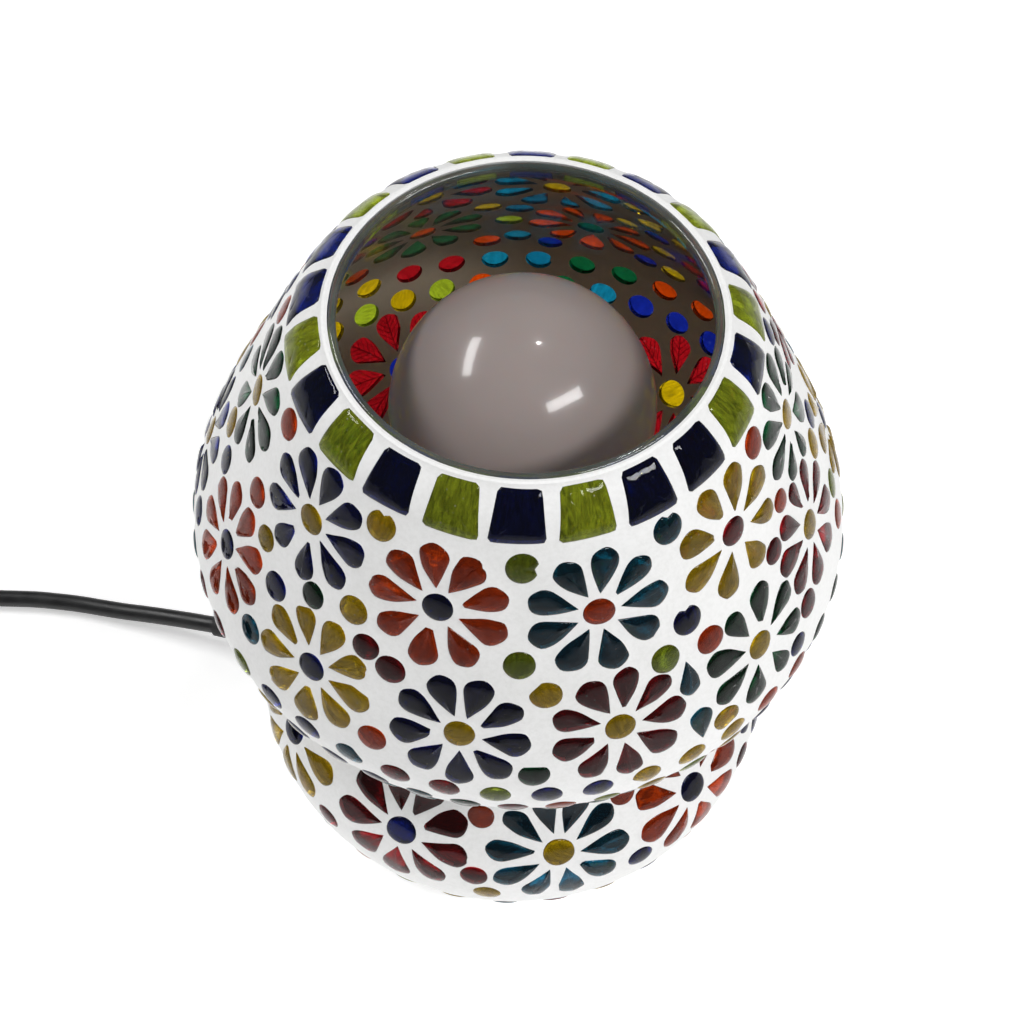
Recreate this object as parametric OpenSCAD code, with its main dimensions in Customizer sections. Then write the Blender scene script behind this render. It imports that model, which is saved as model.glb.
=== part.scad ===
// Mosaic glass table lamp. A blown clear glass vessel with two bulges is
// covered with hand-cut coloured glass tiles set in white grout. An
// LED bulb stands inside in an E27 lampholder and is reached through the
// open mouth. The lamp stands on its base pad, centred on the origin.

/* [Mosaic] */
// Thickness of the white grout coat on the glass
coat_t = 2.4; // [2:0.1:3]
// How far the glass tiles stand proud of the grout
tile_proud = 0.5; // [0.3:0.1:1]
// Thickness of a glass tile
tile_t = 1.1; // [1:0.1:1.5]
// Diameter of the round tiles
dot_d = 6.8; // [5.5:0.1:7.5]
// Length of a teardrop petal in the two upper rows
petal_l = 10; // [8:0.5:11]
// Width of a teardrop petal in the two upper rows
petal_w = 5.4; // [4:0.2:6]
// Width of a rim tile
rim_w = 11; // [9:0.5:12]
// Height of a rim tile along the shoulder
rim_h = 10.6; // [8:0.2:11]

/* [Vessel] */
// Wall thickness of the blown glass
glass_t = 2.4; // [2:0.1:3]
// Thickness of the vessel's glass bottom
floor_t = 3; // [2.5:0.5:4]

/* [Bulb] */
// Diameter of the bulb's globe
globe_d = 60; // [55:1:62]
// Height of the globe's centre above the table
globe_z = 146; // [144:1:147]

/* [Cord] */
// Diameter of the round two-core cord
cord_d = 4.6; // [4:0.1:5]
// Direction in which the cord leaves the vessel, degrees from +X
exit_az = 166; // [160:1:172]
// Height of the cord hole at the vessel's wall
exit_z = 13.5; // [13.5:0.5:15]

/* [Hidden] */
eps = 0.01;

// ---------- the vessel's outer line, mouth to foot, [radius, height] ----------
prof = [
  [45,180],[48,175],[51,169.5],[54.5,163],[58,155.5],[62,147.5],[65.5,140],[69,132],
  [72,124.5],[74.5,117.5],[76,111.5],[76.5,106.5],[76,101.5],[74.5,96],[72,90.5],[68.5,85],
  [64.5,79.5],[60.5,74],[57,69],[54.8,64.5],[54,60],[54.5,55.5],[56.5,50.5],[59.5,46.5],
  [62,42.5],[64,38],[65,33],[65,28],[64.2,22.5],[62.5,17.5],[59.5,13],[55.5,9],[50,5.5]];
last = len(prof) - 1;
// outward unit normal at point i of the line
function nrm(i) = let (a = prof[max(0, i-1)], b = prof[min(last, i+1)], d = b - a) [-d[1], d[0]] / norm(d);
// the line moved inwards by t
function inward(t) = [for (i = [0:last]) prof[i] - t * nrm(i)];
function rev(v) = [for (i = [len(v)-1:-1:0]) v[i]];
// distance along the line from the mouth, used to lay out the mosaic
along = [for (i = 0, a = 0; i <= last; a = a + norm(prof[min(last, i+1)] - prof[i]), i = i + 1) a];
rad_at = [for (i = [0:last]) [along[i], prof[i][0]]];
z_at = [for (i = [0:last]) [along[i], prof[i][1]]];
function R(s) = lookup(s, rad_at);
function Z(s) = lookup(s, z_at);
// how far the outward normal points up, in degrees
function lift(s) = atan2(R(s+3) - R(s-3), Z(s-3) - Z(s+3));

out_line = inward(coat_t);
in_line = inward(coat_t + glass_t);
floor_lo = out_line[last][1];
floor_hi = floor_lo + floor_t;

// ---------- mosaic layout ----------
// colours: 0 navy, 1 teal, 2 russet, 3 maroon, 4 amber, 5 dark green, 6 olive
// flowers: [azimuth, distance from mouth, petals, first petal, petal colour, centre colour, size]
FLOWERS = [
  // shoulder row
  [185,27.2,9,12,5,4,1],[221,27,9,12,0,4,1],[254,30,9,-8,2,0,1],[287,30,9,10,1,2,1],[321,28,8,21,4,3,1],
  [353,26.5,9,0,5,4,1],[23,27,9,5,3,4,1],[53.5,28,8,0,4,0,1],[83.5,27,9,-13,1,4,1],[114,27.2,9,0,3,4,1],[149,28,9,8,0,2,1],
  // belly row
  [175,63,9,5,0,4,1],[203,58,9,5,2,0,1],[232,61,9,5,4,0,1],[261,62,9,3,0,4,1],[289,62,9,8,3,4,1],
  [319,61,8,-19,5,4,1],[342.3,51.6,9,23,3,4,1],[12,60,9,0,4,0,1],[44,58,9,10,3,1,1],[77,56,9,0,2,5,1],
  [112,57,9,6,5,2,1],[144,60,9,0,4,0,1],
  // under row, below the equator
  for (k = [0:10]) [20 + 33*k, 109, 9, 6*k, [3,3,1,3,5,0,4,1,5,2,0][k], [4,4,2,0,4,2,0,4,3,4,2][k], 1.04],
  // lower bulge row
  [208,152,9,10,4,0,1.14],[245,152,9,0,3,0,1.14],[282,152,10,12,1,4,1.14],[318,152,9,5,2,0,1.14],
  [354,152,9,0,0,4,1.14],[30,152,9,0,5,4,1.14],[66,152,9,0,4,3,1.14],[102,152,9,0,2,0,1.14],
  [137,152,9,0,1,2,1.14],[172,152,9,0,5,4,1.14]];

// single round tiles: [azimuth, distance from mouth, colour]
DOTS = [
  // below the rim
  [170,15.8,2],[203,15.8,2],[238,16,4],[271,17,6],[305,15.8,1],[336,15.6,2],[8.4,15.6,0],[38.6,15.7,1],[68.1,15.4,0],[98.5,15.8,3],[131,15.8,5],
  // between the shoulder row and the belly row
  [204,38,2],[212,43,4],[219,50,0],[227.7,43.5,5],[237,40,4],[241.4,47.2,3],[247,50,3],[271,42,6],[276,50,4],
  [299,48,6],[305,41,0],[308.8,49.3,2],[329.5,43.3,3],[337.0,35.8,2],
  [357.7,45.4,4],[4,44,0],[28,47,4],[34,44,5],[61,45,0],[68,43,4],[92,46,1],[99,44,4],[127,47,0],[134,44,4],[160,45,2],[167,44,1],[182.6,44.4,4],[189.3,48.3,0],
  [94,56,6],[128,56,3],[160,56,4],[28,57,1],[61,57,4],
  // between the flowers of the belly row
  [189,70,0],[217,67,1],[246,71,2],[274,73,5],[309,74,4],[328,73,0],[333.4,66.4,3],[354,68,2],[357.1,61,6],
  [27,70,0],[60,70,4],[66,69,0],[85.6,71.6,0],[92,68,1],[98,71,2],[125,72,2],[130,68,0],[158,71,0],
  // equator band
  for (k = [0:41]) [242 + 8.57*k, 81, [1,6,4,2,5,3,0,4,2,1,3,0,4,5][(k*5+floor(k/14))%14]],
  // under the equator
  for (k = [0:43]) [238 + 8.18*k, 90, [0,3,6,0,2,4,1,6,0,5,4][(k*3)%11]],
  // waist
  for (k = [0:29]) [6 + 12*k, 130, [0,2,4,1,3,6,5,4,0,2][k%10]],
  // between the flowers of the lower bulge
  [226,140,4],[226,165,3],[263.3,141.5,2],[263,160,3],[266,168,4],[300,141,2],[301,163,0],[336,141,4],[336,163,3],
  [12,141,1],[12,163,4],[48,141,2],[48,163,0],[84,141,0],[84,163,6],[119.4,140.4,4],[120,163,3],[154.7,140.4,3],[154,163,2],[190,141,0],[190,163,4],
  // above the foot
  for (k = [0:29]) if (abs(6 + 12*k - exit_az) > 10) [6 + 12*k, 181, [4,1,3,4,0,2,6][k%7]]];
// loose teardrops that fill two gaps: [azimuth, distance, turn]
FILL_PETALS = [[303,56,0],[304,71,180]];
RIM_NAVY = [0,2,3,5,7,9,11,13,15,16,18,20];
RIM_GREEN = [1,4,6,8,10,12,14,17,19,21];

// puts a child on the coat: x runs down the line, y round it, z outwards
module on_coat(az, s) {
  rotate([0, 0, az]) translate([R(s), 0, Z(s)]) rotate([0, 90 - lift(s), 0]) children();
}
// one teardrop, tip at -x
module petal(l, w) {
  translate([0, 0, tile_proud - tile_t]) linear_extrude(tile_t)
    polygon([[-l/2,0],[-l*0.1,-w*0.36],[l*0.2,-w*0.5],[l*0.42,-w*0.33],[l/2,0],[l*0.42,w*0.33],[l*0.2,w*0.5],[-l*0.1,w*0.36]]);
}
// the petals of one flower
module petals_of(f) {
  reach = 10.1 * f[6];
  for (k = [0:f[2]-1]) {
    t = f[3] + 360*k/f[2];
    s = f[1] + reach*cos(t);
    on_coat(f[0] + reach*sin(t)/R(s)*180/PI, s) rotate([0, 0, t]) petal(petal_l*f[6], petal_w*f[6]);
  }
}
module petals_in(c) { for (f = FLOWERS) if (f[4] == c) petals_of(f); }
module dot(d) { translate([0, 0, tile_proud - tile_t]) cylinder(h = tile_t, d = d, $fn = 24); }
module dots_in(c) {
  for (f = FLOWERS) if (f[5] == c) on_coat(f[0], f[1]) dot(dot_d * f[6]);
  for (d = DOTS) if (d[2] == c) on_coat(d[0], d[1]) dot(dot_d);
}
module rim_tiles(list) {
  for (k = list) on_coat(270 + k*360/22, 6.3) translate([0, 0, tile_proud - tile_t]) linear_extrude(tile_t)
    polygon([[-rim_h/2,-rim_w*0.46],[rim_h/2,-rim_w*0.54],[rim_h/2,rim_w*0.54],[-rim_h/2,rim_w*0.46]]);
}

// ---------- cord helpers ----------
// the axis of the cord hole: z runs outwards along it
module on_exit() { rotate([0, 0, exit_az]) translate([60, 0, exit_z]) rotate([0, 102, 0]) children(); }
function unit(v) = v / norm(v);
// a tube of radius r with n sides along the points p
module tube(p, r, n) {
  m = len(p);
  rings = [for (i = [0:m-1])
    let (t = unit(p[min(m-1, i+1)] - p[max(0, i-1)]),
         side = unit(cross([0, 0, 1], t)),
         up = cross(t, side))
    for (k = [0:n-1]) p[i] + r*(cos(360*(k+0.5)/n)*side + sin(360*(k+0.5)/n)*up)];
  polyhedron(points = rings, faces = concat(
    [[for (k = [0:n-1]) n-1-k]],
    [[for (k = [0:n-1]) (m-1)*n + k]],
    [for (i = [0:m-2]) for (k = [0:n-1]) each [
      [i*n+k, i*n+(k+1)%n, (i+1)*n+(k+1)%n], [i*n+k, (i+1)*n+(k+1)%n, (i+1)*n+k]]]));
}
// an upright plane through the exit: [distance from the axis, height] to 3-D
function ex(r, z) = [r*cos(exit_az), r*sin(exit_az), z];
// free cord, lamp to switch
ROUTE_A = [[-82,20.5,8.3],[-95.5,24,5.5],[-108,26.5,3.6],[-121,29,2.5],[-133,30,2.3],[-144,30,2.3],[-149,30,2.9],[-153,30,4.4],[-157,30,5.6],[-160,30,6]];
// free cord, switch to coil
ROUTE_B = [[-232,30,6],[-235.5,30,5.6],[-239.5,30,4.3],[-244,30,2.8],[-249,30,2.3],[-256.5,28.5,2.3],[-263,24,2.3],[-267.5,17.5,2.3],[-269,10,2.3],[-267.5,2.5,2.3],[-263,-4,2.3],[-256.5,-8.5,2.3],[-249,-10,2.3],[-238,-10,2.3],[-226,-10,2.3],[-214,-10,2.3]];
// free cord, coil to plug
ROUTE_C = [[-182,-17.5,12],[-176,-26,13.8],[-174,-36,15.6],[-175.5,-43.5,17.3],[-180,-50,19],[-186.5,-54.5,20.3],[-194,-56,20.9]];
ROUTE_IN = [ex(50,15.7),ex(43,17.5),ex(38,22),ex(35,29),ex(34,38),ex(32,47),ex(27,53.5),ex(21,56),ex(16.5,56)];
ROUTE_LIVE = [ex(16.6,57),ex(13,57.1),[-9,6,57.1],[-4,9,56.9],[3,8,56.5],[8,4,56.2],[10,1.6,56]];
ROUTE_NEUTRAL = [ex(16.6,55),ex(14,55),[-12.5,1.5,55.6],[-11,0.5,56]];
coil_c = [-200, -36];

// ---------- vessel ----------
module glass_vessel() {
  color([0.75, 0.82, 0.8, 0.4]) difference() {
    rotate_extrude($fn = 96) polygon(concat(
      [[40.6,180.6],[41,181],[42.5,181],[42.9,180.6]], out_line,
      [[6,floor_lo],[6,floor_hi],[47,floor_hi]],
      [for (i = [last-1:-1:0]) in_line[i]]));
    on_exit() translate([0, 0, -20]) cylinder(h = 40, r = 5, $fn = 48);
  }
}
module grout_coat() {
  color("whitesmoke") difference() {
    rotate_extrude($fn = 96) polygon(concat(prof, rev(out_line)));
    on_exit() translate([0, 0, -20]) cylinder(h = 40, r = 5, $fn = 48);
  }
}
module rim_tiles_navy() { color([0.04, 0.07, 0.22]) rim_tiles(RIM_NAVY); }
module rim_tiles_green() { color([0.45, 0.52, 0.1]) rim_tiles(RIM_GREEN); }
module petals_navy() { color([0.04, 0.06, 0.2]) petals_in(0); }
module petals_teal() {
  color([0.04, 0.25, 0.3]) {
    petals_in(1);
    for (q = FILL_PETALS) on_coat(q[0], q[1]) rotate([0, 0, q[2]]) petal(petal_l, petal_w);
  }
}
module petals_russet() { color([0.62, 0.16, 0.06]) petals_in(2); }
module petals_maroon() { color([0.35, 0.06, 0.1]) petals_in(3); }
module petals_amber() { color([0.62, 0.48, 0.08]) petals_in(4); }
module petals_green() { color([0.07, 0.16, 0.12]) petals_in(5); }
module dots_navy() { color([0.05, 0.08, 0.25]) dots_in(0); }
module dots_teal() { color([0.05, 0.28, 0.35]) dots_in(1); }
module dots_russet() { color([0.65, 0.17, 0.07]) dots_in(2); }
module dots_maroon() { color([0.35, 0.06, 0.1]) dots_in(3); }
module dots_amber() { color([0.6, 0.47, 0.08]) dots_in(4); }
module dots_green() { color([0.06, 0.15, 0.11]) dots_in(5); }
module dots_olive() { color([0.35, 0.42, 0.07]) dots_in(6); }

// ---------- base ----------
module ring(ro, ri, z0, z1) {
  translate([0, 0, z0]) difference() {
    cylinder(h = z1 - z0, r = ro, $fn = 96);
    translate([0, 0, -1]) cylinder(h = z1 - z0 + 2, r = ri, $fn = 96);
  }
}
module base_pad() { color([0.1, 0.1, 0.1]) ring(44, 26, 0, 4); }
module base_plate() { color("dimgray") ring(46, 5.2, 4, 5.5); }
module base_gasket() { color([0.15, 0.15, 0.15]) ring(46, 34, 5.5, floor_lo); }
module rubber_washer() { color([0.12, 0.12, 0.12]) ring(12, 5.2, 5.5, floor_lo); }
module steel_washer() { color("silver") ring(13, 5.2, floor_hi, floor_hi + 1.5); }
module threaded_nipple() { color("goldenrod") ring(5, 3.6, 0.8, 46); }
module base_nut() {
  color("silver") translate([0, 0, 1]) difference() {
    cylinder(h = 3, r = 8.1, $fn = 6);
    translate([0, 0, -1]) cylinder(h = 5, r = 5.05, $fn = 48);
  }
}
module stem_tube() { color("gainsboro") ring(8, 5.4, floor_hi + 1.5, 41); }

// ---------- lampholder ----------
module holder_cap() {
  color([0.08, 0.08, 0.08]) difference() {
    rotate_extrude($fn = 96) polygon([[5.05,41],[9,41],[10,42],[10,46.5],[13,49],[17,50.5],[19.4,53],[20,56],[20,62],
      [17.6,62],[17.6,55.5],[16,53.4],[12,52],[8.5,51],[5.05,51]]);
    rotate([0, 0, exit_az]) translate([10, 0, 56]) rotate([0, 90, 0]) cylinder(h = 14, r = 2.6, $fn = 32);
  }
}
module holder_shell() {
  color([0.08, 0.08, 0.08]) rotate_extrude($fn = 96) polygon([[20,62],[20,66],[19.4,67],[19.4,84],[19,86],[18.6,93],[18,95],
    [16.6,95],[16,94],[16,67],[17.6,65],[17.6,62]]);
}
module holder_core() {
  color("ivory") difference() {
    translate([0, 0, 58]) cylinder(h = 6, r = 15.8, $fn = 96);
    for (x = [-10, 10]) translate([x, 0, 57]) cylinder(h = 8, r = 1.55, $fn = 32);
    translate([0, 10, 57]) cylinder(h = 8, r = 2, $fn = 32);
  }
}
module screw_shell() {
  color("goldenrod") rotate_extrude($fn = 96) polygon(concat(
    [[11,64],[11,64.5],[13.7,64.8]],
    [for (k = [0:14]) [13.7 + (k%2)*0.5, 68 + k*1.7]],
    [[14.5,91.8]], [for (k = [14:-1:0]) [14.2 + (k%2)*0.5, 68 + k*1.7]], [[14.2,64]]));
}
module centre_contact() {
  color("gold") translate([0, 3, 0]) rotate([90, 0, 0]) linear_extrude(6)
    polygon([[-8,64],[-8,64.5],[-5,64.5],[-2,65.7],[2,65.7],[2,65.2],[-1.6,65.2],[-4.6,64]]);
}
module side_contact() {
  color("gold") translate([14.4, -2.5, 64]) cube([1.3, 5, 7]);
}
module terminal_screws() {
  color("silver") for (x = [-10, 10]) translate([x, 0, 0]) {
    translate([0, 0, 55]) difference() {
      cylinder(h = 2.2, r = 2.8, $fn = 32);
      translate([-4, -0.4, -1]) cube([8, 0.8, 1.8]);
    }
    translate([0, 0, 57.2]) cylinder(h = 5.8, r = 1.5, $fn = 32);
  }
}

// ---------- wiring inside ----------
module inner_lead() { color([0.05, 0.05, 0.05]) tube(ROUTE_IN, cord_d/2, 8); }
module live_wire() { color("saddlebrown") tube(ROUTE_LIVE, 0.8, 8); }
module neutral_wire() { color("royalblue") tube(ROUTE_NEUTRAL, 0.8, 8); }
module cord_grommet() {
  color([0.06, 0.06, 0.06]) on_exit() rotate_extrude($fn = 64) polygon([[2.35,-10],[4.9,-10],[4.9,3.5],[7.6,3.5],[7.6,5.2],[7,6],[2.35,6]]);
}
module strain_relief() {
  color([0.06, 0.06, 0.06]) on_exit() rotate_extrude($fn = 64) polygon([[2.35,6],[4.8,6],[4.6,9],[4,9],[4,10.5],[4.3,10.5],[4.1,14],[3.6,14],[3.6,15.5],[3.8,15.5],[3.5,19],[3.1,19],[3.1,20.5],[3.2,20.5],[2.9,24.6],[2.35,24.6]]);
}

// ---------- bulb ----------
module bulb_diffuser() {
  color([0.93, 0.9, 0.88, 0.9]) translate([0, 0, globe_z]) difference() {
    sphere(r = globe_d/2, $fn = 96);
    sphere(r = globe_d/2 - 1.2, $fn = 96);
    translate([0, 0, -globe_d - 18]) cylinder(h = globe_d, r = globe_d, $fn = 48);
  }
}
module bulb_housing() {
  color("white") rotate_extrude($fn = 96) polygon([[23.9,128],[23.6,124],[21.8,117],[19.4,110],[17,103],[15,97],[13.8,92.2],[13.2,92.2],
    [12.2,92.2],[13.2,97],[15.2,103],[17.6,110],[20,117],[21.8,124],[22.2,128]]);
}
module led_board() { color("aliceblue") translate([0, 0, 126.2]) cylinder(h = 1.6, r = 21.6, $fn = 96); }
module led_chips() {
  color("khaki") {
    for (k = [0:9]) rotate([0, 0, 36*k]) translate([14, -1.5, 127.8]) cube([3, 3, 0.8]);
    for (k = [0:3]) rotate([0, 0, 90*k]) translate([4, -1.5, 127.8]) cube([3, 3, 0.8]);
  }
}
module driver_board() {
  color("darkgreen") {
    translate([-0.8, -9.5, 99]) cube([1.6, 19, 26]);
    translate([0.7, -5, 103]) cube([7, 9, 8]);
    translate([5, 2, 113]) cylinder(h = 11, r = 4.3, $fn = 32);
    translate([-6, -5, 105]) cube([5.3, 8, 5]);
  }
}
module bulb_cap() {
  color("silver") rotate_extrude($fn = 96) polygon(concat(
    [[13.1,92.2]], [for (k = [0:10]) [12.6 + (k%2)*0.5, 90 - k*1.8]], [[12.4,70.8],[8.5,68],[8,68.4],[11.6,71.4]],
    [for (k = [10:-1:0]) [12.1 + (k%2)*0.4, 90 - k*1.8]], [[12.2,92.2]]));
}
module cap_insulator() { color([0.08, 0.07, 0.1]) rotate_extrude($fn = 64) polygon([[0,66.8],[4.6,66.8],[8.4,68],[8,68.4],[4,69.5],[0,69.5]]); }
module bulb_contact() { color("silver") translate([0, 0, 66]) cylinder(h = 0.8, r = 4.5, $fn = 48); }

// ---------- switch in the cord ----------
sw_c = [-196, 30];
module on_switch() { translate([sw_c[0], sw_c[1], 0]) children(); }
module switch_outline(d) {
  polygon([[36-d,-4.4+d*0.6],[36-d,4.4-d*0.6],[30,7-d],[22,10.2-d],[12,11.5-d],[-12,11.5-d],[-22,10.2-d],[-30,7-d],[-36+d,4.4-d*0.6],
    [-36+d,-4.4+d*0.6],[-30,-7+d],[-22,-10.2+d],[-12,-11.5+d],[12,-11.5+d],[22,-10.2+d],[30,-7+d]]);
}
module switch_cavity(z0, z1) { translate([-24, -7, z0]) cube([48, 14, z1 - z0]); }
module cord_ways() { for (x = [-37, 23]) translate([x, 0, 6]) rotate([0, 90, 0]) cylinder(h = 14, r = cord_d/2 + 0.05, $fn = 32); }
module switch_base() {
  color([0.07, 0.07, 0.07]) on_switch() difference() {
    union() {
      translate([0, 0, 1]) linear_extrude(5) switch_outline(0);
      linear_extrude(1) switch_outline(1);
    }
    switch_cavity(2, 7);
    cord_ways();
    for (q = [-1, 1]) translate([14*q, -9*q, -1]) {
      cylinder(h = 8, r = 1.3, $fn = 32);
      cylinder(h = 2.9, r = 2.1, $fn = 32);
    }
  }
}
module switch_cover() {
  color([0.07, 0.07, 0.07]) on_switch() difference() {
    union() {
      translate([0, 0, 6]) linear_extrude(6.6) switch_outline(0);
      translate([0, 0, 12.6]) linear_extrude(1.4) switch_outline(1.4);
    }
    switch_cavity(5, 12);
    cord_ways();
    translate([-9, -5.2, 5]) cube([18, 10.4, 12]);
    for (q = [-1, 1]) translate([14*q, -9*q, 5]) cylinder(h = 6, r = 1.25, $fn = 32);
    translate([0, -8.5, 11.2]) rotate([-90, 0, 0]) cylinder(h = 17, r = 1, $fn = 32);
  }
}
module switch_screws() {
  color("silver") on_switch() for (q = [-1, 1]) translate([14*q, -9*q, 0.4]) {
    cylinder(h = 1.5, r = 2.05, $fn = 32);
    cylinder(h = 9.8, r = 1.2, $fn = 32);
  }
}
module switch_terminals() {
  color("goldenrod") on_switch() for (q = [0, 180]) rotate([0, 0, q]) {
    translate([14, -2.5, 2]) cube([6, 5, 5]);
    translate([4.4, -1.5, 2]) cube([10, 3, 0.8]);
    translate([4.4, -1.5, 2.5]) cube([1.6, 3, 2.3]);
  }
}
// rocker and its bridge, drawn level, then tipped to rest with one end down
module tipped() { on_switch() translate([0, 0, 11.2]) rotate([0, 8, 0]) children(); }
module switch_rocker() {
  color([0.1, 0.1, 0.1]) tipped() difference() {
    translate([0, 4.8, 0]) rotate([90, 0, 0]) linear_extrude(9.6)
      polygon([[-8.2,0],[-8.2,3.2],[-4,2.5],[0,2.2],[4,2.5],[8.2,3.2],[8.2,0],[4,-2.2],[2,-4.4],[-2,-4.4],[-4,-2.2]]);
    translate([0, -6, 0]) rotate([-90, 0, 0]) cylinder(h = 12, r = 1.06, $fn = 32);
  }
}
module switch_pin() { color("silver") on_switch() translate([0, -8.5, 11.2]) rotate([-90, 0, 0]) cylinder(h = 17, r = 1, $fn = 32); }
module switch_bridge() {
  color("goldenrod") tipped() translate([-6, -1.5, -5]) cube([12, 3, 0.6]);
}

// ---------- free cord and plug ----------
module cord_to_switch() { color([0.04, 0.04, 0.04]) tube(ROUTE_A, cord_d/2, 12); }
module cord_to_coil() { color([0.04, 0.04, 0.04]) tube(ROUTE_B, cord_d/2, 12); }
module cord_coil() {
  color([0.04, 0.04, 0.04]) translate([coil_c[0], coil_c[1], 0]) rotate_extrude($fn = 64)
    polygon([[20,0],[32,0],[33,1],[33,12.8],[32,13.8],[20,13.8],[19,12.8],[19,1]]);
}
module cord_to_plug() { color([0.04, 0.04, 0.04]) tube(ROUTE_C, cord_d/2, 12); }
module plug_body() {
  color([0.05, 0.05, 0.05]) translate([-206, -56, 20.9]) rotate([0, 0, 180]) {
    translate([0, 0, -6.85]) linear_extrude(13.7)
      polygon([[0,-6.6],[12,-16.4],[15,-17.6],[34,-17.6],[36,-16.4],[36,16.4],[34,17.6],[15,17.6],[12,16.4],[0,6.6]]);
    translate([-12, 0, 0]) rotate([0, 90, 0]) rotate_extrude($fn = 48)
      polygon([[2.35,0],[3.2,0],[3.6,4],[3.2,4],[3.2,5.2],[3.9,5.2],[4.3,9],[4,9],[4,10],[4.8,10],[5,12],[2.35,12]]);
  }
}
module plug_pins() {
  color("silver") for (y = [-9.5, 9.5]) translate([-242, -56 + y, 20.9]) rotate([0, -90, 0])
    rotate_extrude($fn = 48) polygon([[0,0],[2,0],[2,18],[1,19],[0,19]]);
}

glass_vessel();
grout_coat();
rim_tiles_navy();
rim_tiles_green();
petals_navy();
petals_teal();
petals_russet();
petals_maroon();
petals_amber();
petals_green();
dots_navy();
dots_teal();
dots_russet();
dots_maroon();
dots_amber();
dots_green();
dots_olive();
base_pad();
base_plate();
base_gasket();
rubber_washer();
steel_washer();
threaded_nipple();
base_nut();
stem_tube();
holder_cap();
holder_shell();
holder_core();
screw_shell();
centre_contact();
side_contact();
terminal_screws();
inner_lead();
live_wire();
neutral_wire();
cord_grommet();
strain_relief();
bulb_diffuser();
bulb_housing();
led_board();
led_chips();
driver_board();
bulb_cap();
cap_insulator();
bulb_contact();
cord_to_switch();
switch_base();
switch_cover();
switch_screws();
switch_terminals();
switch_rocker();
switch_pin();
switch_bridge();
cord_to_coil();
cord_coil();
cord_to_plug();
plug_body();
plug_pins();
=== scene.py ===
import math
import random
import bpy
import bmesh
import numpy as np
from mathutils import Vector, Matrix, geometry, noise


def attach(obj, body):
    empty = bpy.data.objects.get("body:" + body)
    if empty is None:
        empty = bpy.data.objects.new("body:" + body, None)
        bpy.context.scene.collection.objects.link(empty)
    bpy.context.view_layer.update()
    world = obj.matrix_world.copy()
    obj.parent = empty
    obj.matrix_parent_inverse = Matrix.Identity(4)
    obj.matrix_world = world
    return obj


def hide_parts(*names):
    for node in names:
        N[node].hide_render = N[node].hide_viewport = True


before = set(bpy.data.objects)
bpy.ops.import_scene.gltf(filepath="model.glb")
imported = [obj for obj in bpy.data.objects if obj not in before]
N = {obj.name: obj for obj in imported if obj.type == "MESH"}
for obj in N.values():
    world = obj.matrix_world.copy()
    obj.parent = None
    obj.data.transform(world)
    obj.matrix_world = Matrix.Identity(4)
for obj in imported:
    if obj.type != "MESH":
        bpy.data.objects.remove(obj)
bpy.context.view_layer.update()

MM = 0.001
scene = bpy.context.scene
rng = random.Random(7)

# ------------------------------------------------------------------ camera
cam_data = bpy.data.cameras.new("camera")
cam_data.sensor_width = 36.0
cam_data.lens = 87.89
cam_data.clip_start, cam_data.clip_end = 0.01, 20.0
cam = bpy.data.objects.new("camera", cam_data)
scene.collection.objects.link(cam)
cam.location = (-0.001552, -0.321666, 0.602815)
c_right = Vector((0.99939488, 0.02925739, 0.01881152))
c_up = Vector((-0.03478316, 0.84062766, 0.54049539))
c_fwd = Vector((0.0, 0.54082265, -0.84113665))
m3 = Matrix((c_right, c_up, -c_fwd)).transposed()
cam.rotation_mode = "QUATERNION"
cam.rotation_quaternion = m3.to_quaternion()
scene.camera = cam
scene.view_settings.view_transform = "Standard"


# ------------------------------------------------------------------ material helpers
def new_mat(name):
    m = bpy.data.materials.new(name)
    m.use_nodes = True
    nt = m.node_tree
    for n in list(nt.nodes):
        nt.nodes.remove(n)
    out = nt.nodes.new("ShaderNodeOutputMaterial")
    return m, nt, out


def node(nt, kind, **kw):
    n = nt.nodes.new(kind)
    for k, v in kw.items():
        setattr(n, k, v)
    return n


def principled(nt, **kw):
    b = nt.nodes.new("ShaderNodeBsdfPrincipled")
    for k, v in kw.items():
        b.inputs[k.replace("_", " ")].default_value = v
    return b


def coords(nt, scale=(1, 1, 1)):
    tc = node(nt, "ShaderNodeTexCoord")
    mp = node(nt, "ShaderNodeMapping")
    mp.inputs["Scale"].default_value = scale
    nt.links.new(tc.outputs["Object"], mp.inputs["Vector"])
    return mp.outputs["Vector"]


def noise_tex(nt, vec, scale, detail=3.0, rough=0.55, distortion=0.0):
    n = node(nt, "ShaderNodeTexNoise")
    n.inputs["Scale"].default_value = scale
    n.inputs["Detail"].default_value = detail
    n.inputs["Roughness"].default_value = rough
    n.inputs["Distortion"].default_value = distortion
    if vec is not None:
        nt.links.new(vec, n.inputs["Vector"])
    return n


def ramp(nt, fac, stops):
    r = node(nt, "ShaderNodeValToRGB")
    els = r.color_ramp.elements
    els[0].position, els[0].color = stops[0][0], (*stops[0][1], 1)
    els[1].position, els[1].color = stops[-1][0], (*stops[-1][1], 1)
    for p, c in stops[1:-1]:
        e = els.new(p)
        e.color = (*c, 1)
    nt.links.new(fac, r.inputs["Fac"])
    return r.outputs["Color"]


def map_range(nt, fac, a, b, lo=0.0, hi=1.0):
    r = node(nt, "ShaderNodeMapRange")
    r.inputs["From Min"].default_value = lo
    r.inputs["From Max"].default_value = hi
    r.inputs["To Min"].default_value = a
    r.inputs["To Max"].default_value = b
    nt.links.new(fac, r.inputs["Value"])
    return r.outputs["Result"]


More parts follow.
